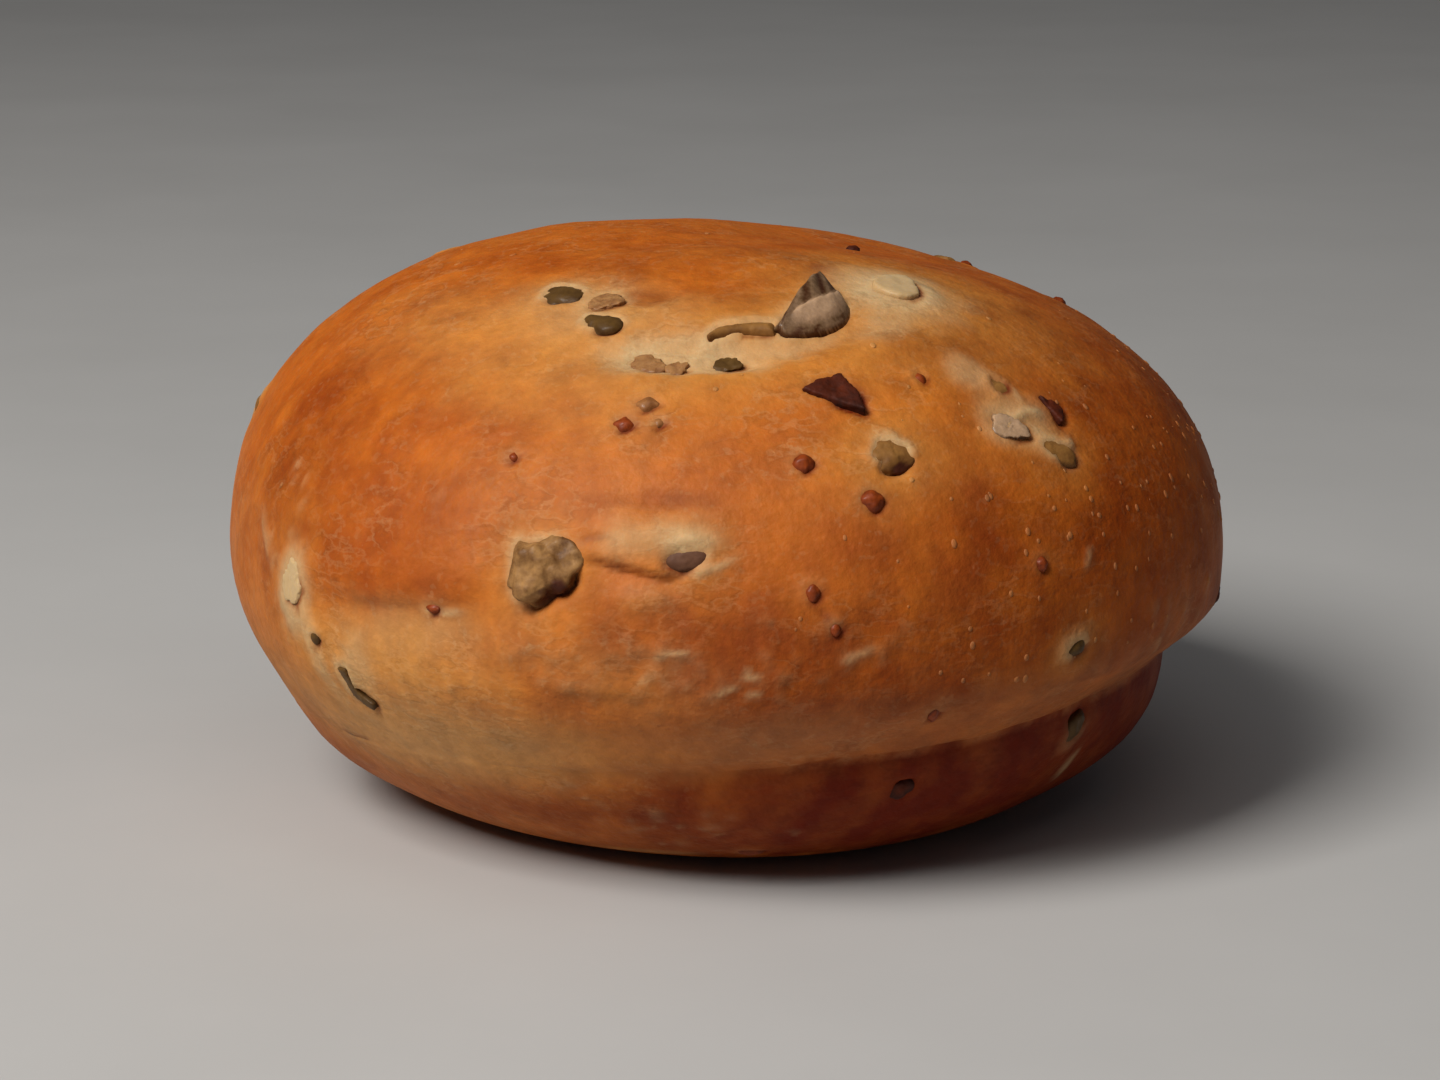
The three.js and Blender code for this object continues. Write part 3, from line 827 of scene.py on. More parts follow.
@dataclass(frozen=True)
class CrustFinish:
    """Satin baked crust."""

    name: str
    grain_size: float = 0.55
    grain_depth: float = 0.12
    pits: float = 0.25
    lighten: float = 0.0

    def material(self, kit: ShaderKit) -> bpy.types.Material:
        """The crust's material."""
        material, tree, shader, place = start_material(self.name)
        masks = {
            label: tree.add("ShaderNodeAttribute", attribute_name=label.lower()).outputs["Fac"]
            for label in ("Pale", "Brown", "Golden")
        }
        if self.lighten:
            masks["Pale"] = tree.math("ADD", masks["Pale"], self.lighten, clamp=True)
        crust = tree.group(kit.crust, {"Vector": place, **masks})
        grain = tree.group(kit.grain, {"Vector": place, "Size": self.grain_size, "Pits": self.pits})
        tree.tree.links.new(crust.outputs["Colour"], shader.inputs["Base Color"])
        tree.tree.links.new(crust.outputs["Roughness"], shader.inputs["Roughness"])
        shader.inputs["Subsurface Weight"].default_value = 0.10
        shader.inputs["Subsurface Radius"].default_value = (1.0, 0.4, 0.15)
        shader.inputs["Subsurface Scale"].default_value = 2.5 * MM
        shader.inputs["Specular IOR Level"].default_value = 0.13
        add_bump(tree, shader, grain.outputs["Height"], self.grain_depth)
        return material


@dataclass(frozen=True)
class FleshFinish:
    """A moist or glossy bit of vegetable or seed."""

    name: str
    light: Colour
    dark: Colour
    size: float
    roughness: float
    depth: float
    coat: float
    glow: float
    patchiness: float = 0.55

    def material(self, kit: ShaderKit) -> bpy.types.Material:
        """The bit's material."""
        material, tree, shader, place = start_material(self.name)
        crest = tree.add("ShaderNodeAttribute", attribute_name="crest").outputs["Fac"]
        tones = {"Light": self.light, "Dark": self.dark, "Size": self.size, "Roughness": self.roughness}
        tones["Patchiness"] = self.patchiness
        flesh = tree.group(kit.flesh, {"Vector": place, "Crest": crest, **tones})
        tree.tree.links.new(flesh.outputs["Colour"], shader.inputs["Base Color"])
        tree.tree.links.new(flesh.outputs["Roughness"], shader.inputs["Roughness"])
        shader.inputs["Coat Weight"].default_value = self.coat
        shader.inputs["Coat Roughness"].default_value = 0.18
        shader.inputs["Specular IOR Level"].default_value = 0.2
        shader.inputs["Subsurface Weight"].default_value = self.glow
        shader.inputs["Subsurface Radius"].default_value = (1.0, 0.8, 0.4)
        shader.inputs["Subsurface Scale"].default_value = 0.8 * MM
        add_bump(tree, shader, flesh.outputs["Height"], self.depth)
        return material


@dataclass(frozen=True)
class FloorFinish:
    """Pale, fine-grained matt floor."""

    name: str = "pale_floor"
    light: Colour = (0.52, 0.515, 0.505)
    dark: Colour = (0.47, 0.465, 0.455)

    def material(self, kit: ShaderKit) -> bpy.types.Material:
        """The floor's material."""
        material, tree, shader, place = start_material(self.name)
        clouds = {"Vector": place, "Size": 60.0, "Detail": 6.0, "Contrast": 1.6}
        cloud = tree.group(kit.mottle, clouds).outputs[0]
        tree.tree.links.new(tree.mix(cloud, self.light, self.dark), shader.inputs["Base Color"])
        shader.inputs["Roughness"].default_value = 0.75
        return material


# ---------------------------------------------------------------- the bits in the crust


class Kind(Enum):
    """What a bit is, by the first word of its node's name."""

    PEPPER = "pepper"
    ONION = "onion"
    CHILLI = "chilli"
    MUSTARD = "mustard"


@dataclass(frozen=True)
class Bedding:
    """How a kind of bit is cut and how the dough lies round it.

    The depth is the hollow under the bit, the gape is the gap on its open side and the rim the swelling
    round it. The halo is how pale the dough is round the bit, and the reach how far that goes. The lumps and
    wrinkles are the bit's own relief, and the cuts are flat faces left by the knife, each at a share of the
    bit's reach. The softening rounds its edges, and the flatness presses down what stands out of the dough.
    The dough creeps up to the share of the bit's height that stays bared.
    """

    depth: float
    gape: float
    rim: float
    halo: float
    reach: float
    lumps: float
    wrinkles: float
    cuts: int = 0
    cut_share: float = 0.8
    softening: int = 6
    flatness: float = 0.0
    gape_side: float = -50.0
    bared: float = 0.35


BEDDING = {
    Kind.PEPPER: Bedding(
        0.20, 0.35, 0.24, 0.68, 0.75, 0.14, 0.06, cuts=5, cut_share=0.82, softening=10, flatness=0.1
    ),
    Kind.ONION: Bedding(
        0.10, 0.10, 0.03, 0.45, 1.2, 0.16, 0.22, cuts=3, softening=12, flatness=0.6, bared=0.1
    ),
    Kind.CHILLI: Bedding(0.15, 0.35, 0.08, 0.05, 0.5, 0.14, 0.08, softening=4),
    Kind.MUSTARD: Bedding(0.15, 0.20, 0.14, 0.12, 0.6, 0.10, 0.04, softening=6),
}
PEPPER_BED = BEDDING[Kind.PEPPER]
ONION_BED = BEDDING[Kind.ONION]
SPECIAL_BEDDING = {
    "pepper_chunk_front": replace(
        PEPPER_BED, gape=1.4, cuts=14, cut_share=0.84, flatness=0.0, softening=6, lumps=0.3
    ),
    "pepper_bit_slit": replace(
        PEPPER_BED, halo=0.5, gape=0.3, gape_side=-120.0, flatness=0.4, cuts=1, lumps=0.06, bared=0.1
    ),
    "pepper_oval_front": replace(
        PEPPER_BED, halo=0.78, rim=0.34, gape=1.1, gape_side=-80.0, cuts=2, bared=0.3
    ),
    "pepper_oval_crown": replace(PEPPER_BED, cuts=3, halo=0.7, reach=0.8),
    "pepper_bit_right": replace(PEPPER_BED, flatness=0.6, gape=0.0, cuts=2, halo=0.3),
    "pepper_hook_left": replace(
        PEPPER_BED, cuts=0, softening=2, flatness=0.2, gape=0.15, lumps=0.05, bared=0.1
    ),
    "pepper_strip_crown": replace(PEPPER_BED, cuts=3, flatness=0.2, gape=0.2),
    "pepper_fold_crown": replace(PEPPER_BED, gape=0.5, gape_side=-60.0, rim=0.1, bared=0.05),
    "onion_flake_crown_right": replace(
        ONION_BED, flatness=0.0, halo=0.8, reach=2.2, softening=30, lumps=0.1, wrinkles=0.02, cuts=0
    ),
    "pepper_flake_centre": replace(ONION_BED, halo=0.3),
    "chilli_bit_base_front": replace(BEDDING[Kind.CHILLI], halo=0.0, gape=0.6, gape_side=90.0, bared=0.1),
    "pepper_bit_belt_right": replace(PEPPER_BED, halo=0.2, gape=0.5, gape_side=90.0, bared=0.1),
}


# Welding distances, in metres for the CAD's meshes and in millimetres for the bits' own.
CAD_WELD = 1e-6
BIT_WELD = 1e-3

# Seeds of the patterns on the bits. Each bit adds its own number.
LUMP_SEED = 11.0
WRINKLE_SEED = 31.0
NOTCH_SEED = 51.0


@dataclass
class Bit:
    """One bit of vegetable or seed: the finer piece that stands for its CAD node.

    The crest's floor is its value where the bit lies deepest; the lower the crest, the darker the bit, as
    painted shade. The notch is a painted shadow in the gap on the gaping side, and where it starts to fade
    and how far that takes are shares of the bit's reach.
    """

    node: str
    kind: Kind
    shape: DoughShape
    number: int
    face_size: float = 0.15
    edge_softening: float = 0.6
    crest_floor: float = 0.3
    crest_below: float = 0.15
    crest_least: float = 0.2
    notch_from: float = 0.25
    notch_run: float = 0.75
    notch_size: float = 1.2
    notch_ragged: float = 0.35
    cut_depth: float = 0.85
    lump_size: float = 2.2
    wrinkle_size: float = 0.9
    most_fill: float = 1.25
    mesh: bpy.types.Mesh = field(init=False)
    points: Array = field(init=False)
    crest: Array = field(init=False)
    seat: Seat = field(init=False)

    def __post_init__(self) -> None:
        """Shapes the bit, so that its socket can be fitted to it."""
        self.seat = self.shape.seat_under(self.middle())
        self.form()

    def form(self) -> None:
        """Makes the mesh, its points in millimetres and its crest, which is 1 where it stands out most."""
        self.mesh = self.softened()
        self.points = self.sculpted(coordinates(self.mesh.vertices))
        height = self.standing(self.points)
        gape = math.radians(self.bed.gape_side)
        side = self.seat.across * math.cos(gape) + self.seat.along * math.sin(gape)
        extent = ((self.points - self.seat.centre) @ side).max()
        arm = self.points - self.seat.centre - side * extent
        away = np.linalg.norm(arm - np.outer(arm @ self.seat.out, self.seat.out), axis=1) / extent
        ragged = noise_field(self.points, self.notch_size, 2, NOTCH_SEED + self.number)
        away = away + self.notch_ragged * ragged
        # Painted shadow on the bit in the gap on its gaping side; it takes the crest down to nothing.
        notch = (1 - smoothstep((away - self.notch_from) / self.notch_run)) * min(self.bed.gape, 1.0)
        tallest = max(height.max() + self.crest_below, self.crest_least)
        stands = smoothstep((height + self.crest_below) / tallest)
        # The crest is the bit's painted light and shade: high where it stands out, low deep in the dough and
        # in the gap's shadow.
        self.crest = (self.crest_floor + (1 - self.crest_floor) * stands) * (1 - notch)

    def settle(self, rise: float) -> None:
        """Moves the bit with the crust round it, which lies that much above or below the plain dough."""
        moved = self.seat.out * rise
        self.points = self.points + moved
        self.seat = replace(self.seat, centre=self.seat.centre + moved)

    @property
    def bed(self) -> Bedding:
        """How this bit lies in the dough."""
        return SPECIAL_BEDDING.get(self.node, BEDDING[self.kind])

    def source_points(self) -> Array:
        """The CAD node's distinct points in millimetres."""
        points = coordinates(frame["nodes"][self.node].data.vertices) / MM
        return np.unique(points.round(3), axis=0)

    def middle(self) -> Array:
        """The middle of the CAD node's box."""
        points = self.source_points()
        return (points.min(axis=0) + points.max(axis=0)) / 2

    def standing(self, points: Array) -> Array:
        """How far points stand out of the plain crust."""
        return (points - self.seat.centre) @ self.seat.out

    def socket(self) -> Socket:
        """The socket that fits the bit where it leaves the dough."""
        height = self.standing(self.points)
        arm = (self.points - self.seat.centre)[height > self.bed.bared * height.max()]
        return Socket(self.seat, np.stack([arm @ self.seat.across, arm @ self.seat.along], axis=1), self.bed)

    def softened(self) -> bpy.types.Mesh:
        """The CAD node's shape in millimetres, remade of small even faces with softer edges."""
        form = bmesh.new()
        form.from_mesh(frame["nodes"][self.node].data)
        bmesh.ops.remove_doubles(form, verts=form.verts, dist=CAD_WELD)
        bmesh.ops.scale(form, vec=(1 / MM, 1 / MM, 1 / MM), verts=form.verts)
        rough = bpy.data.meshes.new(self.node + "_rough")
        form.to_mesh(rough)
        form.free()
        carrier = linked(self.node + "_rough", rough)
        even = carrier.modifiers.new("Even faces", "REMESH")
        even.mode = "VOXEL"
        even.voxel_size = self.face_size
        soft = carrier.modifiers.new("Soft edges", "SMOOTH")
        soft.factor = self.edge_softening
        soft.iterations = self.bed.softening
        mesh = baked_mesh(carrier, self.node + "_piece")
        bpy.data.objects.remove(carrier)
        return mesh

    def sculpted(self, points: Array) -> Array:
        """Cuts, lumps and wrinkles the softened shape, within the CAD node's own size."""
        chance = np.random.default_rng(self.number)
        sharp = self.source_points()
        middle = self.middle()
        for _ in range(self.bed.cuts):
            facing = unit(chance.normal(0, 1, 3)[None])[0]
            height = (points - middle) @ facing
            over = np.maximum(height - self.bed.cut_share * height.max(), 0)
            points = points - facing * (self.cut_depth * over)[:, None]
        away = unit(points - middle)
        lumps = noise_field(points, self.lump_size, 2, LUMP_SEED + self.number) * self.bed.lumps * 2
        furrows = np.abs(noise_field(points, self.wrinkle_size, 2, WRINKLE_SEED + self.number))
        wrinkles = -furrows * self.bed.wrinkles * 2
        points = points + away * (lumps + wrinkles)[:, None]
        fill = (sharp.max(axis=0) - sharp.min(axis=0)) / (points.max(axis=0) - points.min(axis=0))
        centre = (points.max(axis=0) + points.min(axis=0)) / 2
        points = middle + (points - centre) * np.minimum(fill, self.most_fill)
        pressed = np.maximum(self.standing(points), 0) * self.bed.flatness
        return points - self.seat.out * pressed[:, None]

    def build(self, finish: bpy.types.Material, slot: str) -> bpy.types.Object:
        """Makes the finished piece.

        Args:
            finish: the material.
            slot: the record's slot for it; not used.

        Returns:
            The finished piece.
        """
        mesh = self.mesh
        mesh.vertices.foreach_set("co", (self.points * MM).ravel())
        mesh.polygons.foreach_set("use_smooth", [True] * len(mesh.polygons))
        mesh.attributes.new("crest", "FLOAT", "POINT").data.foreach_set("value", self.crest)
        mesh.materials.clear()
        mesh.materials.append(finish)
        piece = linked(self.node + "_piece", mesh)
        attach(piece, BODY)
        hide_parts(self.node)
        return piece


@dataclass
class FoldedSkin(Bit):
    """A leaf of pepper skin folded over: a dark blade behind, and a pale membrane sloping down in front.

    The ridge and the feet are places across and along the seat, in millimetres. On the sheet, u runs along
    the ridge from 0 to 1, and v from -1 at the back foot over the ridge to 1 at the front foot. The hem is
    where the pale flap starts: its first number is its v at the ridge's start, and its second what it gains.
    """

    ridge: tuple[tuple[float, float], ...] = ((-4.2, -2.2), (-1.6, 0.2), (0.6, 1.9), (2.3, 4.8))
    front: tuple[tuple[float, float], ...] = ((-4.0, -2.8), (-0.6, -3.2), (2.6, -2.6), (3.7, 0.6))
    height: float = 2.5
    lean: float = 0.7
    lean_way: tuple[float, float] = (0.4, 0.3)
    root: float = 0.8
    along_rows: int = 44
    across_rows: int = 30
    back_offset: tuple[float, float] = (-0.6, 0.5)
    sunk: float = 0.25
    strand_relief: float = 0.12
    hem_line: tuple[float, float] = (0.16, 0.36)
    flap_rise: float = 0.35
    flap_tone: float = 0.84
    flap_strands: float = 0.30
    blade_tone: float = 0.22
    blade_strands: float = 0.20
    hem_glow: float = 0.3

    def form(self) -> None:
        """Lays a closed sheet over the ridge, down to the feet on both sides and back underneath."""
        along, across = np.linspace(0, 1, self.along_rows), np.linspace(-1, 1, self.across_rows)
        u, v = (grid.ravel() for grid in np.meshgrid(along, across, indexing="ij"))
        ridge, front = (
            np.stack([bezier(*(np.array(line)[i, k] for i in range(4)), u) for k in (0, 1)], axis=1)
            for line in (self.ridge, self.front)
        )
        back = ridge + np.array(self.back_offset)
        side = np.where(v[:, None] > 0, front, back)
        flat = ridge + (side - ridge) * np.abs(v)[:, None]
        swell = np.sin(np.pi * (0.06 + 0.66 * u)) ** 0.9
        strands = noise_field(np.stack([u * 6 + v * 3, v * 0.9, 0 * u], axis=1), 1.0, 3, 3.0)
        hem = self.hem_line[0] + self.hem_line[1] * u
        flap = smoothstep((v - hem) / 0.10) * smoothstep((0.86 - v) / 0.12) * smoothstep((u - 0.12) / 0.2)
        relief = self.strand_relief * strands * (1 - v * v)
        top = self.height * swell * (1 - np.abs(v) ** 1.3) + relief - self.sunk
        top = top + self.flap_rise * flap
        top = np.where(np.abs(v) > 0.999, -self.root, top)
        back_by, up_by = self.lean_way
        leaning = (flat[:, 0] - self.lean * top * back_by, flat[:, 1] + self.lean * top * up_by, top)
        plane = np.stack(leaning, axis=1)
        under = plane * np.array([1.0, 1.0, 0.0]) - np.array([0.0, 0.0, self.root])
        local = np.concatenate([plane, under])
        axes = np.stack([self.seat.across, self.seat.along, self.seat.out])
        world = self.seat.centre + local @ axes
        rows, count = self.across_rows, len(plane)
        faces = []
        for i in range(self.along_rows - 1):
            for j in range(rows - 1):
                a = i * rows + j
                quad = (a, a + rows, a + rows + 1, a + 1)
                faces.append(quad)
                faces.append(tuple(count + k for k in reversed(quad)))
        for j in range(rows - 1):
            last = (self.along_rows - 1) * rows + j
            faces.append((j, j + 1, count + j + 1, count + j))
            faces.append((last + 1, last, count + last, count + last + 1))
        mesh = bpy.data.meshes.new(self.node + "_piece")
        mesh.from_pydata([tuple(map(float, row)) for row in world], [], faces)
        self.mesh, self.points = closed(mesh)
        blade = self.blade_tone + self.blade_strands * strands
        edge = np.exp(-(((v - hem - 0.06) / 0.05) ** 2)) * smoothstep((u - 0.15) / 0.2)
        pale = self.flap_tone + self.flap_strands * strands
        tone = blade + flap * (pale - blade) + self.hem_glow * edge
        crest = np.concatenate([np.clip(tone, 0, 1), np.zeros(count)])
        sheet = kd_tree(world)
        self.crest = np.array([crest[sheet.find(row)[1]] for row in self.points])


def closed(mesh: bpy.types.Mesh) -> tuple[bpy.types.Mesh, Array]:
    """Merges a mesh's doubles, turns its faces outward, and gives it with its points."""
    form = bmesh.new()
    form.from_mesh(mesh)
    bmesh.ops.remove_doubles(form, verts=form.verts, dist=BIT_WELD)
    bmesh.ops.recalc_face_normals(form, faces=form.faces)
    form.to_mesh(mesh)
    form.free()
    return mesh, coordinates(mesh.vertices)


def bits_in_crust(shape: DoughShape) -> list[Bit]:
    """A bit for every CAD node but the bread."""
    names = sorted(name for name in frame["nodes"] if name != "bun")
    forms = {"pepper_fold_crown": FoldedSkin}
    return [
        forms.get(name, Bit)(name, Kind(name.split("_")[0]), shape, number)
        for number, name in enumerate(names)
    ]


def settle_bits(bits: list[Bit], shape: DoughShape) -> None:
    """Lets every bit follow the swellings and hollows that are worked into the crust under it."""
    centres = np.array([bit.seat.centre for bit in bits])
    skin = Skin(centres, np.array([bit.seat.out for bit in bits]), np.zeros(len(bits)))
    for feature in (*PATCHES, *STROKES):
        feature.apply(skin, shape)
    for bit, rise in zip(bits, skin.rise):
        bit.settle(float(rise))


# ---------------------------------------------------------------- the crust


# The welding distance of the crust's mesh, in metres. It joins the plan's seam and closes the foot and top.
CRUST_WELD = 2e-6

# Seeds of the patterns of the crust.
DOUGH_SEED = 2.0
RAGGED_SEED = 5.0
DIMPLE_SEED = 9.0
WOBBLE_SEED = 17.0

PATCHES = (
    Patch(-34, -2.0, 30, 8, turn=7, edge=0.6, rise=0.25, golden=0.85, pale=0.06),
    Patch(-22, 0.0, 14, 6, turn=8, edge=0.7, golden=-0.6),
    Patch(-44, -13, 34, 17, edge=0.6, golden=0.45, pale=0.06),
    Patch(-38, 15, 38, 26, edge=0.9, brown=0.22),
    Patch(-42, 37, 34, 14, turn=-8, edge=0.8, golden=0.60, pale=0.05),
    Patch(52, 36, 20, 16, edge=0.8, golden=0.40, brown=-0.15),
    Patch(0, 2.5, 20, 9, edge=0.8, brown=0.38),
    Patch(28, 8, 28, 16, edge=0.8, brown=0.34),
    Patch(-36, -13, 26, 12, edge=0.7, pale=0.18, golden=0.60, brown=-0.14),
    Patch(-48, -17, 18, 8, edge=0.7, pale=0.14, golden=0.20, brown=-0.16),
    Patch(-36, 0.5, 14, 5, turn=6, edge=0.7, pale=0.16, golden=0.3, brown=-0.1),
    Patch(-70, -6, 30, 26, edge=0.8, golden=0.30),
    Patch(-58, 18, 16, 22, edge=0.8, brown=0.26),
    Patch(-6, 3.5, 16, 7, edge=0.8, brown=0.22),
    # Partly the base's own paler colour, partly painted light: the lower left is made golden and less brown
    # where little lamp light reaches it.
    Patch(-33, -15.5, 32, 10, edge=0.8, brown=-0.5, golden=0.40, pale=0.06),
    Patch(-12, -25, 34, 8, edge=0.8, brown=0.28, golden=-0.4),
    Patch(-9.5, -3, 14, 6, edge=0.8, brown=-0.30, pale=0.07, golden=0.25),
    Patch(-64, 12, 14, 22, edge=0.8, brown=0.22),
    Patch(-32, 8, 18, 9, edge=0.8, brown=0.14),
    Patch(-18, 27, 20, 10, edge=0.8, brown=0.10),
    Patch(6, -9.5, 20, 6, edge=0.8, brown=-0.40, pale=0.06),
    Patch(-12, 17, 42, 26, edge=0.8, golden=0.10, pale=0.05),
    Patch(-2, 39.0, 36, 15, turn=3, edge=0.7, golden=0.75),
    Patch(41, 49, 25, 21, edge=0.7, golden=0.75),
    Patch(20, 20.5, 13, 10, edge=0.8, golden=0.5),
    Patch(-6.5, 37.3, 17, 6.4, turn=3, edge=0.4, rise=-0.7, pale=0.66),
    Patch(10, 40.5, 12, 5.0, turn=12, edge=0.6, rise=-0.4, pale=0.40, golden=0.5),
    Patch(41, 49, 13, 12.5, edge=0.5, rise=0.3, pale=0.55, golden=0.4),
    Patch(43, 48, 6.5, 6.0, edge=0.4, rise=0.35, pale=0.7),
    Patch(31, 42, 10, 4, turn=35, edge=0.6, pale=0.35, golden=0.6),
    Patch(29, 57, 3.4, 6, turn=-20, edge=0.5, brown=0.7),
    Patch(-28, 45.5, 17, 11, edge=0.7, pale=0.22, golden=0.7),
    Patch(-20.5, 50.2, 5.0, 3.8, turn=15, edge=0.5, brown=0.6, pale=-0.8, golden=-0.4, rise=-0.25),
    Patch(-8, 16.4, 8.5, 1.6, turn=2, edge=0.7, brown=0.45, rise=-0.25),
    Patch(36, 30.8, 4.2, 4.6, edge=0.5, pale=0.50, rise=0.15),
    Patch(39.5, 23.4, 7.5, 6.0, turn=-38, edge=0.5, pale=0.42, golden=0.4, rise=-0.1),
    Patch(44, 22.5, 2.2, 5.5, turn=20, edge=0.5, brown=0.5, rise=-0.1),
    Patch(-54, 1, 5.5, 7.5, edge=0.5, pale=0.75, rise=0.2),
    Patch(-54, 7.5, 4.5, 3.4, edge=0.6, brown=0.35),
    Patch(-51, -5, 2.4, 9, turn=12, edge=0.6, pale=0.45, golden=0.4),
    Patch(-43.5, -5, 3.6, 6, edge=0.6, pale=0.40, golden=0.5),
    Patch(51, -22.5, 1.4, 4, edge=0.5, pale=0.55),
    # Painted shade: the right flank is browned darker, standing in for the light falling off on that side.
    Patch(62, 16, 60, 46, edge=0.8, brown=0.42),
    Patch(8, -3, 34, 9, turn=4, edge=0.8, brown=0.40),
    Patch(-10, 62, 60, 26, edge=0.8, brown=0.22),
    Patch(-12, 68, 16, 7, edge=0.7, rise=0.5, golden=0.15),
    Patch(-38, 57, 8, 4, edge=0.7, rise=0.45, brown=0.2),
    Patch(25, 60, 10, 6, edge=0.7, rise=0.35),
    Patch(-2, 46, 20, 8, turn=4, edge=0.7, rise=0.35),
    Patch(150, 12, 60, 26, edge=0.8, brown=0.22),
)

STROKES = (
    Stroke(
        ((-64, 3.5), (-50, 2.6), (-44, 2.6), (-38, 3.2), (-32, 4.2), (-27, 4.6), (-20, 6.8)),
        1.6, -0.10, 1.4, 7.0,
    ),
    # Painted shade: a faint brown line in the crease under the dome's overhang.
    Stroke(((-47, 2.4), (-42, 2.2), (-36, 2.9), (-31, 3.8)), 0.45, -0.08, 0.2, 2.0, brown=0.08),
    Stroke(((-34, -16.6), (-23, -15), (-3, -12.6), (16, -12)), 1.1, 0.28, taper=0.35, ragged=0.4),
    Stroke(((-35, 3.0), (-31, 2.9), (-27.5, 3.6)), 0.35, 0.15, pale=0.6, reach=1.0),
    Stroke(
        ((-30, 36.5), (-20, 33.8), (-10, 33.6), (2, 34.6), (12, 36.0), (22, 38.2), (32, 41.5), (42, 42.5)),
        1.3, 0.0, -0.8, 4.5,
    ),
    Stroke(((-17, 11.0), (-12, 12.2), (-5, 12.8), (2.5, 12.6)), 1.8, 0.55, pale=0.42, golden=0.5, taper=0.25),
    Stroke(((-8, 11.2), (-4, 12.2), (1.0, 12.4)), 1.1, 0.15, pale=0.6, taper=0.3),
    Stroke(((-6, 8.6), (-2.0, 9.3), (2, 11.6)), 0.42, 0.25, pale=0.65, taper=0.3),
    Stroke(((-14, 7.0), (-9, 6.2), (-3, 7.2)), 1.4, 0.45, pale=0.10, golden=0.25, taper=0.35),
    # Painted shade: the slit's sunken line under its raised lid is browned dark.
    Stroke(
        ((-18, 9.6), (-14.5, 9.9), (-11.5, 9.3), (-8, 8.5), (-5.5, 8.5), (-2.5, 9.6)),
        0.34, -0.55, 0.8, 2.2, brown=0.6, pale=-0.5, ragged=0.15,
    ),
    Stroke(((-17, 11.6), (-14.5, 12.3), (-12.0, 12.4)), 0.45, -0.25, brown=0.55, reach=1.0),
    Stroke(((-13, 0.0), (-7.5, 1.1), (-2.5, 0.4)), 0.7, 0.22, 0.4, 2.0, pale=0.14),
    Stroke(((-26, -1.6), (-22, 0.2), (-18, 0.8)), 0.7, 0.25, 0.5, 2.5, pale=0.10),
    Stroke(((-22, -4.5), (-14, -3.4), (-6, -3.8)), 0.8, 0.2, 0.4, 2.5, golden=0.2),
    Stroke(((0.5, -1.7), (2, -1.3), (3.5, -1.8)), 0.4, 0.2, pale=0.55, reach=1.0),
    Stroke(((1, -3.9), (2.2, -3.2), (3.5, -3.5)), 0.35, 0.15, pale=0.5, reach=1.0),
    Stroke(((10.5, -0.6), (12.5, 0.5), (16, 1.3)), 0.45, 0.2, pale=0.55, reach=1.0),
    Stroke(((41.5, 9.0), (41, 7.4), (40, 5.6)), 0.32, 0.2, pale=0.40, reach=1.0),
    Stroke(((42.0, 28), (41.2, 26.6), (41.5, 25.0)), 0.3, 0.15, pale=0.5, reach=1.0),
    Stroke(((-66, 9), (-62, 6), (-59.5, 2.0)), 0.7, 0.25, pale=0.30, reach=1.0),
    Stroke(((8.4, 5.8), (9.6, 4.6), (10.4, 3.8)), 0.35, -0.1, brown=0.7, reach=1.0),
    Stroke(
        ((34, 20.4), (36, 22.6), (39.5, 24.1), (43, 24), (44.5, 22.2)),
        0.5, 0.40, pale=0.75, reach=1.0, ragged=0.5,
    ),
    Stroke(
        ((35, 20.4), (37.5, 21.9), (40.5, 21.9), (41.5, 20.4)),
        0.4, 0.30, pale=0.70, reach=1.0, ragged=0.5,
    ),
    Stroke(((45.5, 21.1), (44.5, 18.9), (42, 17.1)), 0.45, 0.30, pale=0.65, reach=1.0, ragged=0.5),
    Stroke(((-8.5, -0.6), (-7, 0.9), (-5, 1.2), (-3, 0.1)), 0.35, 0.20, pale=0.55, reach=1.0, ragged=0.5),
    Stroke(((-10, -2.9), (-8.5, -1.7), (-7.5, -1)), 0.35, 0.20, pale=0.45, reach=1.0, ragged=0.5),
    Stroke(((-2.5, -3.9), (-0.5, -2.8), (1.5, -2.1)), 0.35, 0.20, pale=0.50, reach=1.0, ragged=0.5),
    Stroke(((-14, 33.4), (-6, 33.0), (2, 33.6), (12, 35.6)), 1.5, 0.05, golden=0.5, reach=2.0),
    Stroke(((-28, -35.4), (-18, -35.2), (-8, -34.2), (0, -34.0)), 0.7, 0.1, pale=0.25, golden=0.7, reach=1.0),
)

SCUFFS = (
    Scuffs(-9, -1.0, (13, 5.5), 38, 20, 1, (0.5, 1.8), 0.12, 0.22),
    Scuffs(-14, -4.0, (18, 4.0), 20, 60, 11, (0.6, 2.0), 0.14, 0.16),
    Scuffs(10, 0.0, (14, 5.0), 26, 30, 2, (0.5, 1.8), 0.12, 0.18),
    Scuffs(-58, 8, (4, 9), 14, 76, 3, (1.0, 2.6), 0.26),
    Scuffs(-30, 16, (24, 12), 14, 80, 12, (0.8, 2.0), 0.08, 0.10),
    Scuffs(-8, -25, (16, 6), 24, 10, 4, (0.6, 2.4), 0.22),
    Scuffs(-44, -9, (10, 5), 14, 30, 5, (0.8, 2.6), 0.20),
    Scuffs(-48, -21, (14, 3), 12, 14, 6, (0.8, 2.6), 0.20),
    Scuffs(166, -3, (22, 6), 30, 14, 7, (0.6, 3.0), 0.22, 0.18),
    Scuffs(-128, -10, (18, 8), 20, 30, 8, (0.6, 2.6), 0.22),
    Scuffs(104, -2, (18, 6), 20, 20, 9, (0.6, 2.6), 0.22),
    Scuffs(60, -2, (12, 6), 14, 72, 10, (0.8, 2.2), 0.20),
)


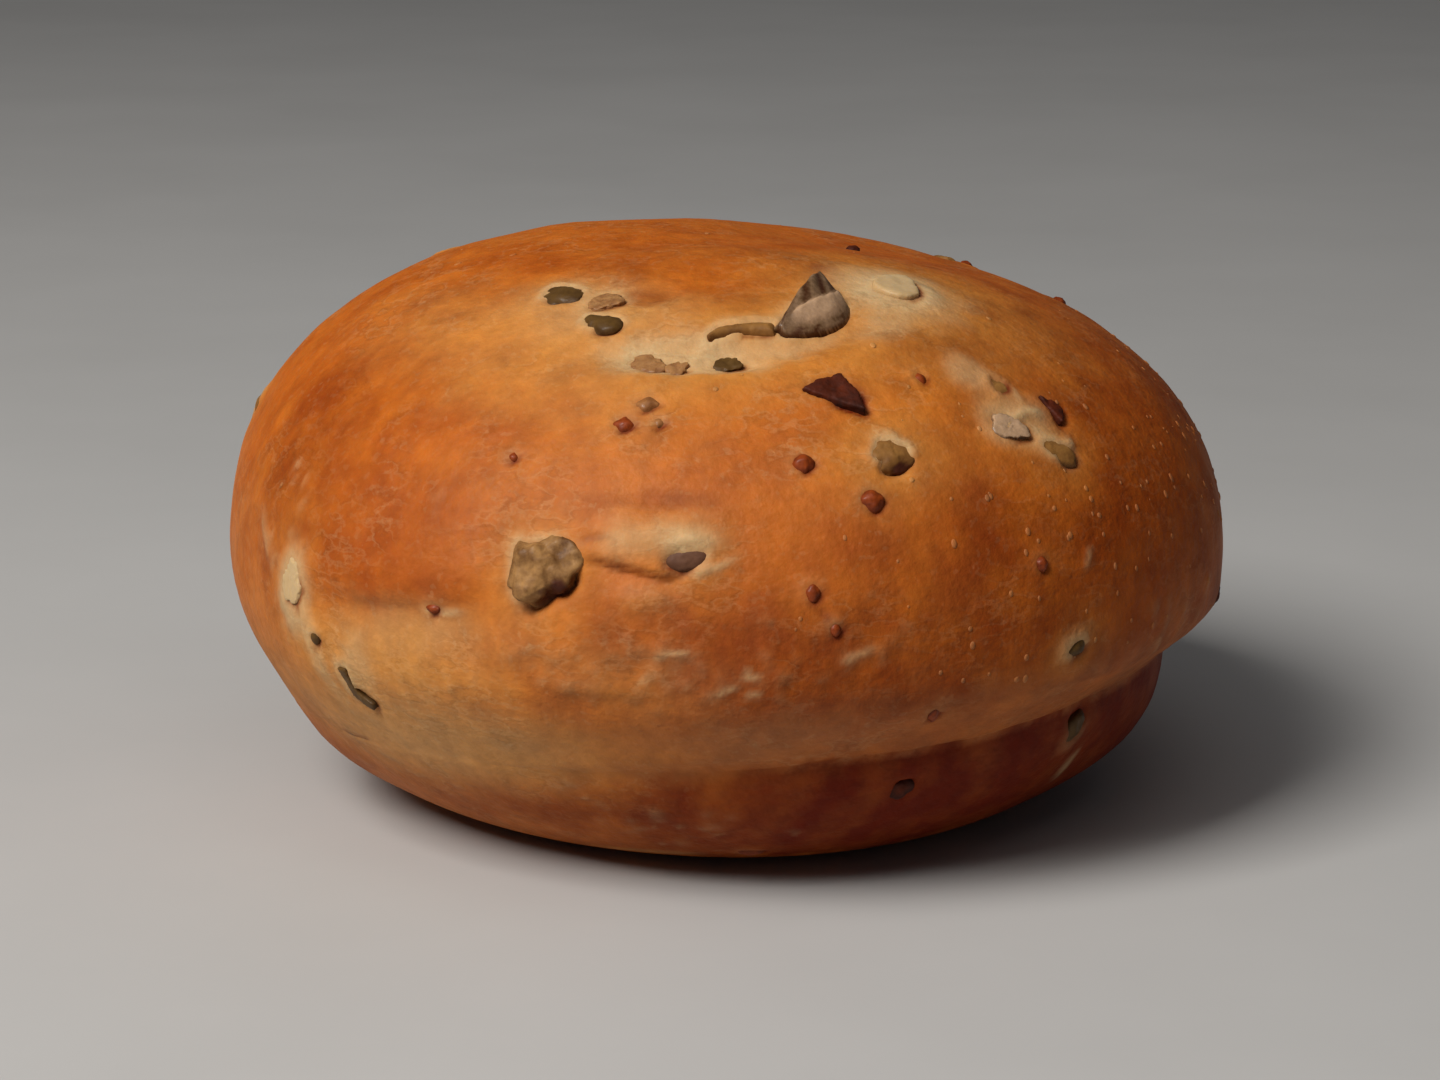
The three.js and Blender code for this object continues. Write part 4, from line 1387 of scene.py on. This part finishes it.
@dataclass
class Crust:
    """The bread's whole outer skin.

    The rows are the plan's rows of cells in each stretch of the outline. Each margin is how far round the
    small features one more halving of the cells goes.
    """

    shape: DoughShape
    columns: int = 316
    rows: tuple[int, ...] = (5, 26, 2, 15, 66)
    margins: tuple[float, ...] = (1.8, 0.7)
    socket_margin: float = 0.6
    stroke_margin: float = 0.5
    ragged_size: float = 3.0
    lump_size: float = 20.0
    lump_rise: float = 0.32
    dimple_size: float = 6.0
    dimple_rise: float = 0.09
    crease_reach: float = 3.0
    crease_step: float = 0.16
    crease_blur: float = 0.25
    wobble_size: float = 7.0
    wobble_rise: float = 0.35
    belt_top: float = 9.5
    belt_fade: float = 6.5
    ring_from: float = 1.12
    foot_to: float = 1.1
    fewest_blisters: float = 0.04
    palest_blistered: float = 0.35
    foot_clearance: float = 0.3
    relief_full: float = 6.0

    def plan(self) -> bmesh.types.BMesh:
        """A flat map of the skin: the azimuth in degrees along x, the share of the outline along y."""
        shares = [0.0]
        for stretch, count in enumerate(self.rows):
            shares += [stretch + (i + 1) / count for i in range(count)]
        flat = bmesh.new()
        turns = np.linspace(-180, 180, self.columns + 1)
        grid = [[flat.verts.new((turn, share, 0)) for turn in turns] for share in shares]
        for low, high in zip(grid, grid[1:]):
            for i in range(self.columns):
                flat.faces.new((low[i], low[i + 1], high[i + 1], high[i]))
        return flat

    @staticmethod
    def places(flat: bmesh.types.BMesh) -> tuple[Array, Array]:
        """The share of the outline and the azimuth in radians at each point of the plan."""
        flat.verts.ensure_lookup_table()
        co = coordinates(flat.verts)
        return np.clip(co[:, 1], 0, TOP), np.radians(co[:, 0])

    def refine(self, flat: bmesh.types.BMesh, sockets: list[Socket], strokes: list[Stroke]) -> None:
        """Splits the plan's cells where the crust has small features."""
        lines = [stroke.line(self.shape)[0] for stroke in strokes]
        for margin in self.margins:
            points = self.shape.points(*self.places(flat))
            wanted = np.zeros(len(points), dtype=bool)
            for socket in sockets:
                limit = socket.reach + margin + self.socket_margin
                wanted |= np.linalg.norm(points - socket.seat.centre, axis=1) < limit
            for line in lines:
                middle = line.mean(axis=0)
                limit = margin + self.stroke_margin
                radius = np.linalg.norm(line - middle, axis=1).max() + margin + self.stroke_margin
                close = np.flatnonzero(np.linalg.norm(points - middle, axis=1) < radius)
                for place in line:
                    wanted[close] |= np.linalg.norm(points[close] - place, axis=1) < limit
            edges = [e for e in flat.edges if wanted[e.verts[0].index] and wanted[e.verts[1].index]]
            bmesh.ops.subdivide_edges(flat, edges=edges, cuts=1, use_grid_fill=True)
        many = [f for f in flat.faces if len(f.verts) > 4]
        bmesh.ops.triangulate(flat, faces=many)

    def tint_zones(self, skin: Skin, share: Array, azimuth: Array) -> None:
        """Tints the zones of the bread: a dull belt, a base ring that is golden on one side, and the foot.

        The crease wobbles where it is crisp, and is a low step where it is not. The belt reaches up from it,
        and the ring down from it to the foot.
        """
        crisp = self.shape.crispness(azimuth)
        above = skin.point[:, 2] - self.shape.crease(azimuth)
        blur = 0.5 + 3.2 * (1 - crisp)
        drift = skin.ragged * (0.9 + 2.1 * (1 - crisp))
        upper = smoothstep((above + drift + blur) / (2 * blur))
        by_crease = np.exp(-((above / self.crease_reach) ** 2))
        step = np.tanh((above - self.crease_blur) / self.crease_blur)
        skin.rise += (1 - crisp) * self.crease_step * step * by_crease
        wobble = noise_field(skin.point, self.wobble_size, 1, WOBBLE_SEED)
        skin.rise += crisp * self.wobble_rise * wobble * by_crease
        belt = upper * smoothstep((self.belt_top - above + 3.0 * skin.ragged) / self.belt_fade)
        ring = (1 - upper) * smoothstep((share - self.ring_from + 0.2 * skin.ragged) / 0.3)
        foot = smoothstep((self.foot_to - share + 0.2 * skin.ragged) / 0.2)
        zones = (
            (belt, 0.05, 0.10, 0.0),
            (belt * crisp, 0.07, 0.30, 0.0),
            (belt * (1 - crisp), 0.06, 0.05, 0.45),
            (ring * (0.30 + 0.70 * crisp), -0.5, 0.92, -0.4),
            (ring * (1 - crisp), 0.0, 0.0, 0.25),
            (foot, 0.0, 0.70, 0.2),
        )
        for mask, pale, brown, golden in zones:
            skin.add(mask, 0.0, pale, brown, golden)

    def build(self, sockets: list[Socket], finish: bpy.types.Material) -> bpy.types.Object:
        """Builds the skin.

        Args:
            sockets: the hollows of the bits.
            finish: the crust's material.

        Returns:
            The finished skin.
        """
        flat = self.plan()
        strokes = [*STROKES, *(stroke for scuffs in SCUFFS for stroke in scuffs.strokes())]
        self.refine(flat, sockets, strokes)
        share, azimuth = self.places(flat)
        point = self.shape.points(share, azimuth)
        normal = self.shape.normals(share, azimuth)
        skin = Skin(point, normal, noise_field(point, self.ragged_size, 3, RAGGED_SEED))
        self.tint_zones(skin, share, azimuth)
        for feature in (*PATCHES, *strokes, *sockets):
            feature.apply(skin, self.shape)
        lumps = noise_field(point, self.lump_size, 2, DOUGH_SEED) * self.lump_rise
        dimples = noise_field(point, self.dimple_size, 3, DIMPLE_SEED) * self.dimple_rise
        clear_of_foot = smoothstep((point[:, 2] - self.foot_clearance) / self.relief_full)
        point = point + normal * ((skin.rise + lumps + dimples) * clear_of_foot)[:, None]
        point[:, 2] = np.maximum(point[:, 2], 0.0)
        for vert, row in zip(flat.verts, point * MM):
            vert.co = row
        layers = {name: flat.verts.layers.float.new(name) for name in ("pale", "brown", "golden", "blister")}
        masks = {"pale": skin.pale, "brown": skin.brown, "golden": skin.golden}
        masks["blister"] = self.blister_density(skin)
        for name, layer in layers.items():
            for vert, value in zip(flat.verts, np.clip(masks[name], 0, 1)):
                vert[layer] = float(value)
        bmesh.ops.remove_doubles(flat, verts=flat.verts, dist=CRUST_WELD)
        for face in flat.faces:
            face.smooth = True
        mesh = bpy.data.meshes.new("crust")
        flat.to_mesh(mesh)
        flat.free()
        mesh.materials.append(finish)
        return linked("crust", mesh)

    def blister_density(self, skin: Skin) -> Array:
        """Where blisters crowd: thick on the flanks, thin on the crown, none by bits or below the belt."""
        arm = unit(skin.point - self.shape.heart)
        azimuth = np.degrees(np.arctan2(arm[:, 0], -arm[:, 1]))
        elevation = np.degrees(np.arcsin(np.clip(arm[:, 2], -1, 1)))
        flank = np.exp(-(((elevation - 8) / 18) ** 2))
        right = smoothstep((azimuth - 5) / 30) * smoothstep((150 - azimuth) / 40)
        left = smoothstep((-azimuth - 95) / 30)
        density = self.fewest_blisters + (1 - self.fewest_blisters) * flank * np.maximum(right, left)
        density *= smoothstep((elevation + 8) / 8)
        return density * (1 - smoothstep(skin.pale / self.palest_blistered))


# ---------------------------------------------------------------- blisters


@dataclass(frozen=True)
class Blisters:
    """Tiny domes of lifted skin, scattered over the crust."""

    per_square_metre: float = 90000.0
    least_scale: float = 0.2
    most_scale: float = 0.60
    stretch: float = 1.6
    lift: float = 0.4
    seed: int = 7

    def tree(self, finish: bpy.types.Material) -> bpy.types.NodeTree:
        """The scatter's node tree, with its sizes as named inputs in metres."""
        group = bpy.data.node_groups.new("Blister scatter", "GeometryNodeTree")
        face = group.interface
        face.new_socket(name="Geometry", in_out="INPUT", socket_type="NodeSocketGeometry")
        for label in ("Density", "Least width", "Most width", "Stretch", "Lift"):
            face.new_socket(name=label, in_out="INPUT", socket_type="NodeSocketFloat")
        face.new_socket(name="Geometry", in_out="OUTPUT", socket_type="NodeSocketGeometry")
        tree = Tree(group)
        source, sink = group.nodes.new("NodeGroupInput"), group.nodes.new("NodeGroupOutput")
        named = tree.add("GeometryNodeInputNamedAttribute", {"Name": "blister"}, data_type="FLOAT")
        density = tree.math("MULTIPLY", named.outputs["Attribute"], source.outputs["Density"])
        points = tree.add(
            "GeometryNodeDistributePointsOnFaces",
            {"Mesh": source.outputs["Geometry"], "Density": density, "Seed": self.seed},
        )
        dome = tree.add("GeometryNodeMeshIcoSphere", {"Radius": 0.5, "Subdivisions": 2})
        width = tree.add(
            "FunctionNodeRandomValue",
            {2: source.outputs["Least width"], 3: source.outputs["Most width"], "Seed": 3},
            data_type="FLOAT",
        ).outputs[1]
        tall = tree.add(
            "FunctionNodeRandomValue",
            {2: 1.0, 3: source.outputs["Stretch"], "Seed": 5},
            data_type="FLOAT",
        )
        scale = tree.add(
            "ShaderNodeCombineXYZ",
            {
                "X": width,
                "Y": tree.math("MULTIPLY", width, tall.outputs[1]),
                "Z": tree.math("MULTIPLY", width, source.outputs["Lift"]),
            },
        )
        normal = points.outputs["Normal"]
        upright = tree.add("FunctionNodeAlignRotationToVector", {"Vector": normal}, axis="Z")
        sky = tree.add("ShaderNodeCombineXYZ", {"Z": 1.0})
        turned = tree.add(
            "FunctionNodeAlignRotationToVector",
            {"Rotation": upright.outputs[0], "Vector": sky.outputs[0]},
            axis="Y",
            pivot_axis="Z",
        )
        placed = tree.add(
            "GeometryNodeInstanceOnPoints",
            {
                "Points": points.outputs["Points"],
                "Instance": dome.outputs["Mesh"],
                "Rotation": turned.outputs[0],
                "Scale": scale.outputs[0],
            },
        )
        real = tree.add("GeometryNodeRealizeInstances", {"Geometry": placed.outputs["Instances"]})
        smooth = tree.add("GeometryNodeSetShadeSmooth", {"Geometry": real.outputs["Geometry"]})
        dressed = tree.add(
            "GeometryNodeSetMaterial",
            {"Geometry": smooth.outputs["Geometry"], "Material": finish},
        )
        group.links.new(dressed.outputs["Geometry"], sink.inputs["Geometry"])
        return group

    def build(self, crust: bpy.types.Object, finish: bpy.types.Material) -> bpy.types.Object:
        """Scatters the blisters over the crust and makes them one plain piece."""
        carrier = linked("blister_carrier", crust.data.copy())
        modifier = carrier.modifiers.new("Scatter", "NODES")
        group = self.tree(finish)
        modifier.node_group = group
        values = {
            "Density": self.per_square_metre,
            "Least width": self.least_scale * MM,
            "Most width": self.most_scale * MM,
            "Stretch": self.stretch,
            "Lift": self.lift,
        }
        for item in group.interface.items_tree:
            if item.in_out == "INPUT" and item.name in values:
                modifier[item.identifier] = values[item.name]
        mesh = baked_mesh(carrier, "crust_blisters")
        carrier.modifiers.remove(modifier)
        bpy.data.objects.remove(carrier)
        piece = linked("crust_blisters", mesh)
        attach(piece, BODY)
        return piece


# ---------------------------------------------------------------- the studio


@dataclass(frozen=True)
class Softbox:
    """A square area light that faces the bun."""

    name: str
    azimuth: float
    elevation: float
    distance: float
    size: float
    power: float
    colour: Colour = (1.0, 1.0, 1.0)

    def build(self, target: Vector) -> None:
        """Hangs the light."""
        light = bpy.data.lights.new(self.name, "AREA")
        light.energy = self.power
        light.size = self.size
        light.color = self.colour
        aim(linked(self.name, light), target, self.azimuth, self.elevation, self.distance)


@dataclass(frozen=True)
class Studio:
    """The floor, the lights and the camera. Lengths here are in metres."""

    lens: float = 100.0
    sensor: float = 36.0
    near_clip: float = 0.01
    distance: float = 0.4057
    elevation: float = 14.0
    target: tuple[float, float, float] = (-0.0006, 0.0, 0.0247)
    floor_reach: float = 4.0
    ambient: float = 0.055
    sky: Colour = (0.9, 0.93, 1.0)
    lights: tuple[Softbox, ...] = (
        Softbox("key_light", -44, 46, 0.9, 0.42, 8.6, (1.0, 0.97, 0.93)),
        Softbox("fill_light", 10, 66, 1.2, 0.9, 1.5, (1.0, 0.98, 0.96)),
    )

    def build(self, kit: ShaderKit) -> None:
        """Lays the floor, hangs the lights and places the camera."""
        r = self.floor_reach
        plane = bpy.data.meshes.new("floor")
        plane.from_pydata([(-r, -r, 0.0), (r, -r, 0.0), (r, r, 0.0), (-r, r, 0.0)], [], [(0, 1, 2, 3)])
        plane.materials.append(FloorFinish().material(kit))
        floor = linked("floor", plane)
        target = Vector(self.target)
        for light in self.lights:
            light.build(target)
        world = bpy.data.worlds.new("soft_surround")
        world.use_nodes = True
        background = world.node_tree.nodes["Background"]
        background.inputs["Color"].default_value = rgba(self.sky)
        background.inputs["Strength"].default_value = self.ambient
        bpy.context.scene.world = world
        camera = bpy.data.cameras.new("camera")
        camera.lens = self.lens
        camera.sensor_width = self.sensor
        camera.clip_start = self.near_clip
        obj = linked("camera", camera)
        aim(obj, target, 0.0, self.elevation, self.distance)
        bpy.context.scene.camera = obj
        bpy.context.scene.view_settings.view_transform = "Standard"


# ---------------------------------------------------------------- main


FINISHES = {
    "pepper": FleshFinish(
        "pepper_flesh", (0.34, 0.158, 0.038), (0.115, 0.042, 0.008),
        size=1.8, roughness=0.48, depth=0.06, coat=0.04, glow=0.12,
    ),
    "pepper_cut": FleshFinish(
        "pepper_cut_flesh", (0.45, 0.235, 0.080), (0.120, 0.046, 0.010),
        size=1.5, roughness=0.48, depth=0.08, coat=0.04, glow=0.12, patchiness=0.75,
    ),
    "pepper_dark": FleshFinish(
        "pepper_skin", (0.130, 0.064, 0.013), (0.050, 0.022, 0.005),
        size=1.6, roughness=0.45, depth=0.05, coat=0.06, glow=0.0,
    ),
    "pepper_shade": FleshFinish(
        "pepper_in_shade", (0.16, 0.070, 0.036), (0.075, 0.026, 0.012),
        size=1.4, roughness=0.50, depth=0.04, coat=0.0, glow=0.1,
    ),
    "onion": FleshFinish(
        "onion_flesh", (0.44, 0.220, 0.080), (0.17, 0.060, 0.018),
        size=1.1, roughness=0.40, depth=0.06, coat=0.10, glow=0.20,
    ),
    "chilli": FleshFinish(
        "chilli_skin", (0.105, 0.015, 0.002), (0.018, 0.003, 0.001),
        size=1.2, roughness=0.55, depth=0.06, coat=0.0, glow=0.0,
    ),
    "mustard": FleshFinish(
        "mustard_seed", (0.31, 0.052, 0.006), (0.100, 0.013, 0.001),
        size=0.9, roughness=0.40, depth=0.04, coat=0.10, glow=0.03,
    ),
    "membrane": FleshFinish(
        "pepper_membrane", (0.62, 0.39, 0.23), (0.075, 0.032, 0.007),
        size=1.0, roughness=0.34, depth=0.04, coat=0.25, glow=0.10, patchiness=0.12,
    ),
    "onion_pale": FleshFinish(
        "onion_under_skin", (0.60, 0.42, 0.22), (0.50, 0.315, 0.140),
        size=2.4, roughness=0.42, depth=0.03, coat=0.05, glow=0.30,
    ),
    "mustard_pale": FleshFinish(
        "mustard_seed_pale", (0.36, 0.150, 0.045), (0.140, 0.042, 0.009),
        size=0.9, roughness=0.36, depth=0.03, coat=0.15, glow=0.05,
    ),
}
SPECIAL_FINISHES = {
    "pepper_chunk_front": "pepper_cut",
    "pepper_fold_crown": "membrane",
    "onion_flake_crown_right": "onion_pale",
    "onion_flake_side_left": "onion_pale",
    "onion_flake_right": "membrane",
    "pepper_bit_slit": "pepper_shade",
    "pepper_flake_centre": "pepper_dark",
    "mustard_seed_upper_left_1": "mustard_pale",
    "mustard_seed_upper_left_3": "mustard_pale",
}


def main() -> None:
    """Builds the studio, the crust, its blisters and its bits, in that order."""
    logging.basicConfig(level=logging.INFO, format="%(name)s: %(message)s")
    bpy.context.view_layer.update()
    kit = ShaderKit.build()
    Studio().build(kit)
    shape = DoughShape().centred()
    bits = bits_in_crust(shape)
    settle_bits(bits, shape)
    sockets = [bit.socket() for bit in bits]
    crust = Crust(shape).build(sockets, CrustFinish("baked_crust").material(kit))
    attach(crust, BODY)
    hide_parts("bun")
    triangles = sum(len(face.vertices) - 2 for face in crust.data.polygons)
    LOG.info("crust: %d triangles", triangles)
    blistered = CrustFinish("blistered_crust", lighten=0.16, grain_depth=0.03)
    blisters = Blisters().build(crust, blistered.material(kit))
    LOG.info("blisters: %d faces", len(blisters.data.polygons))
    slots = {part["node"]: part["material_slot"] for part in frame["record"]["subparts"]}
    finishes = {slot: finish.material(kit) for slot, finish in FINISHES.items()}
    for bit in bits:
        slot = slots[bit.node]
        piece = bit.build(finishes[SPECIAL_FINISHES.get(bit.node, slot)], slot)
        LOG.info("%s: %d faces", piece.name, len(piece.data.polygons))


if __name__ == "__main__":
    main()
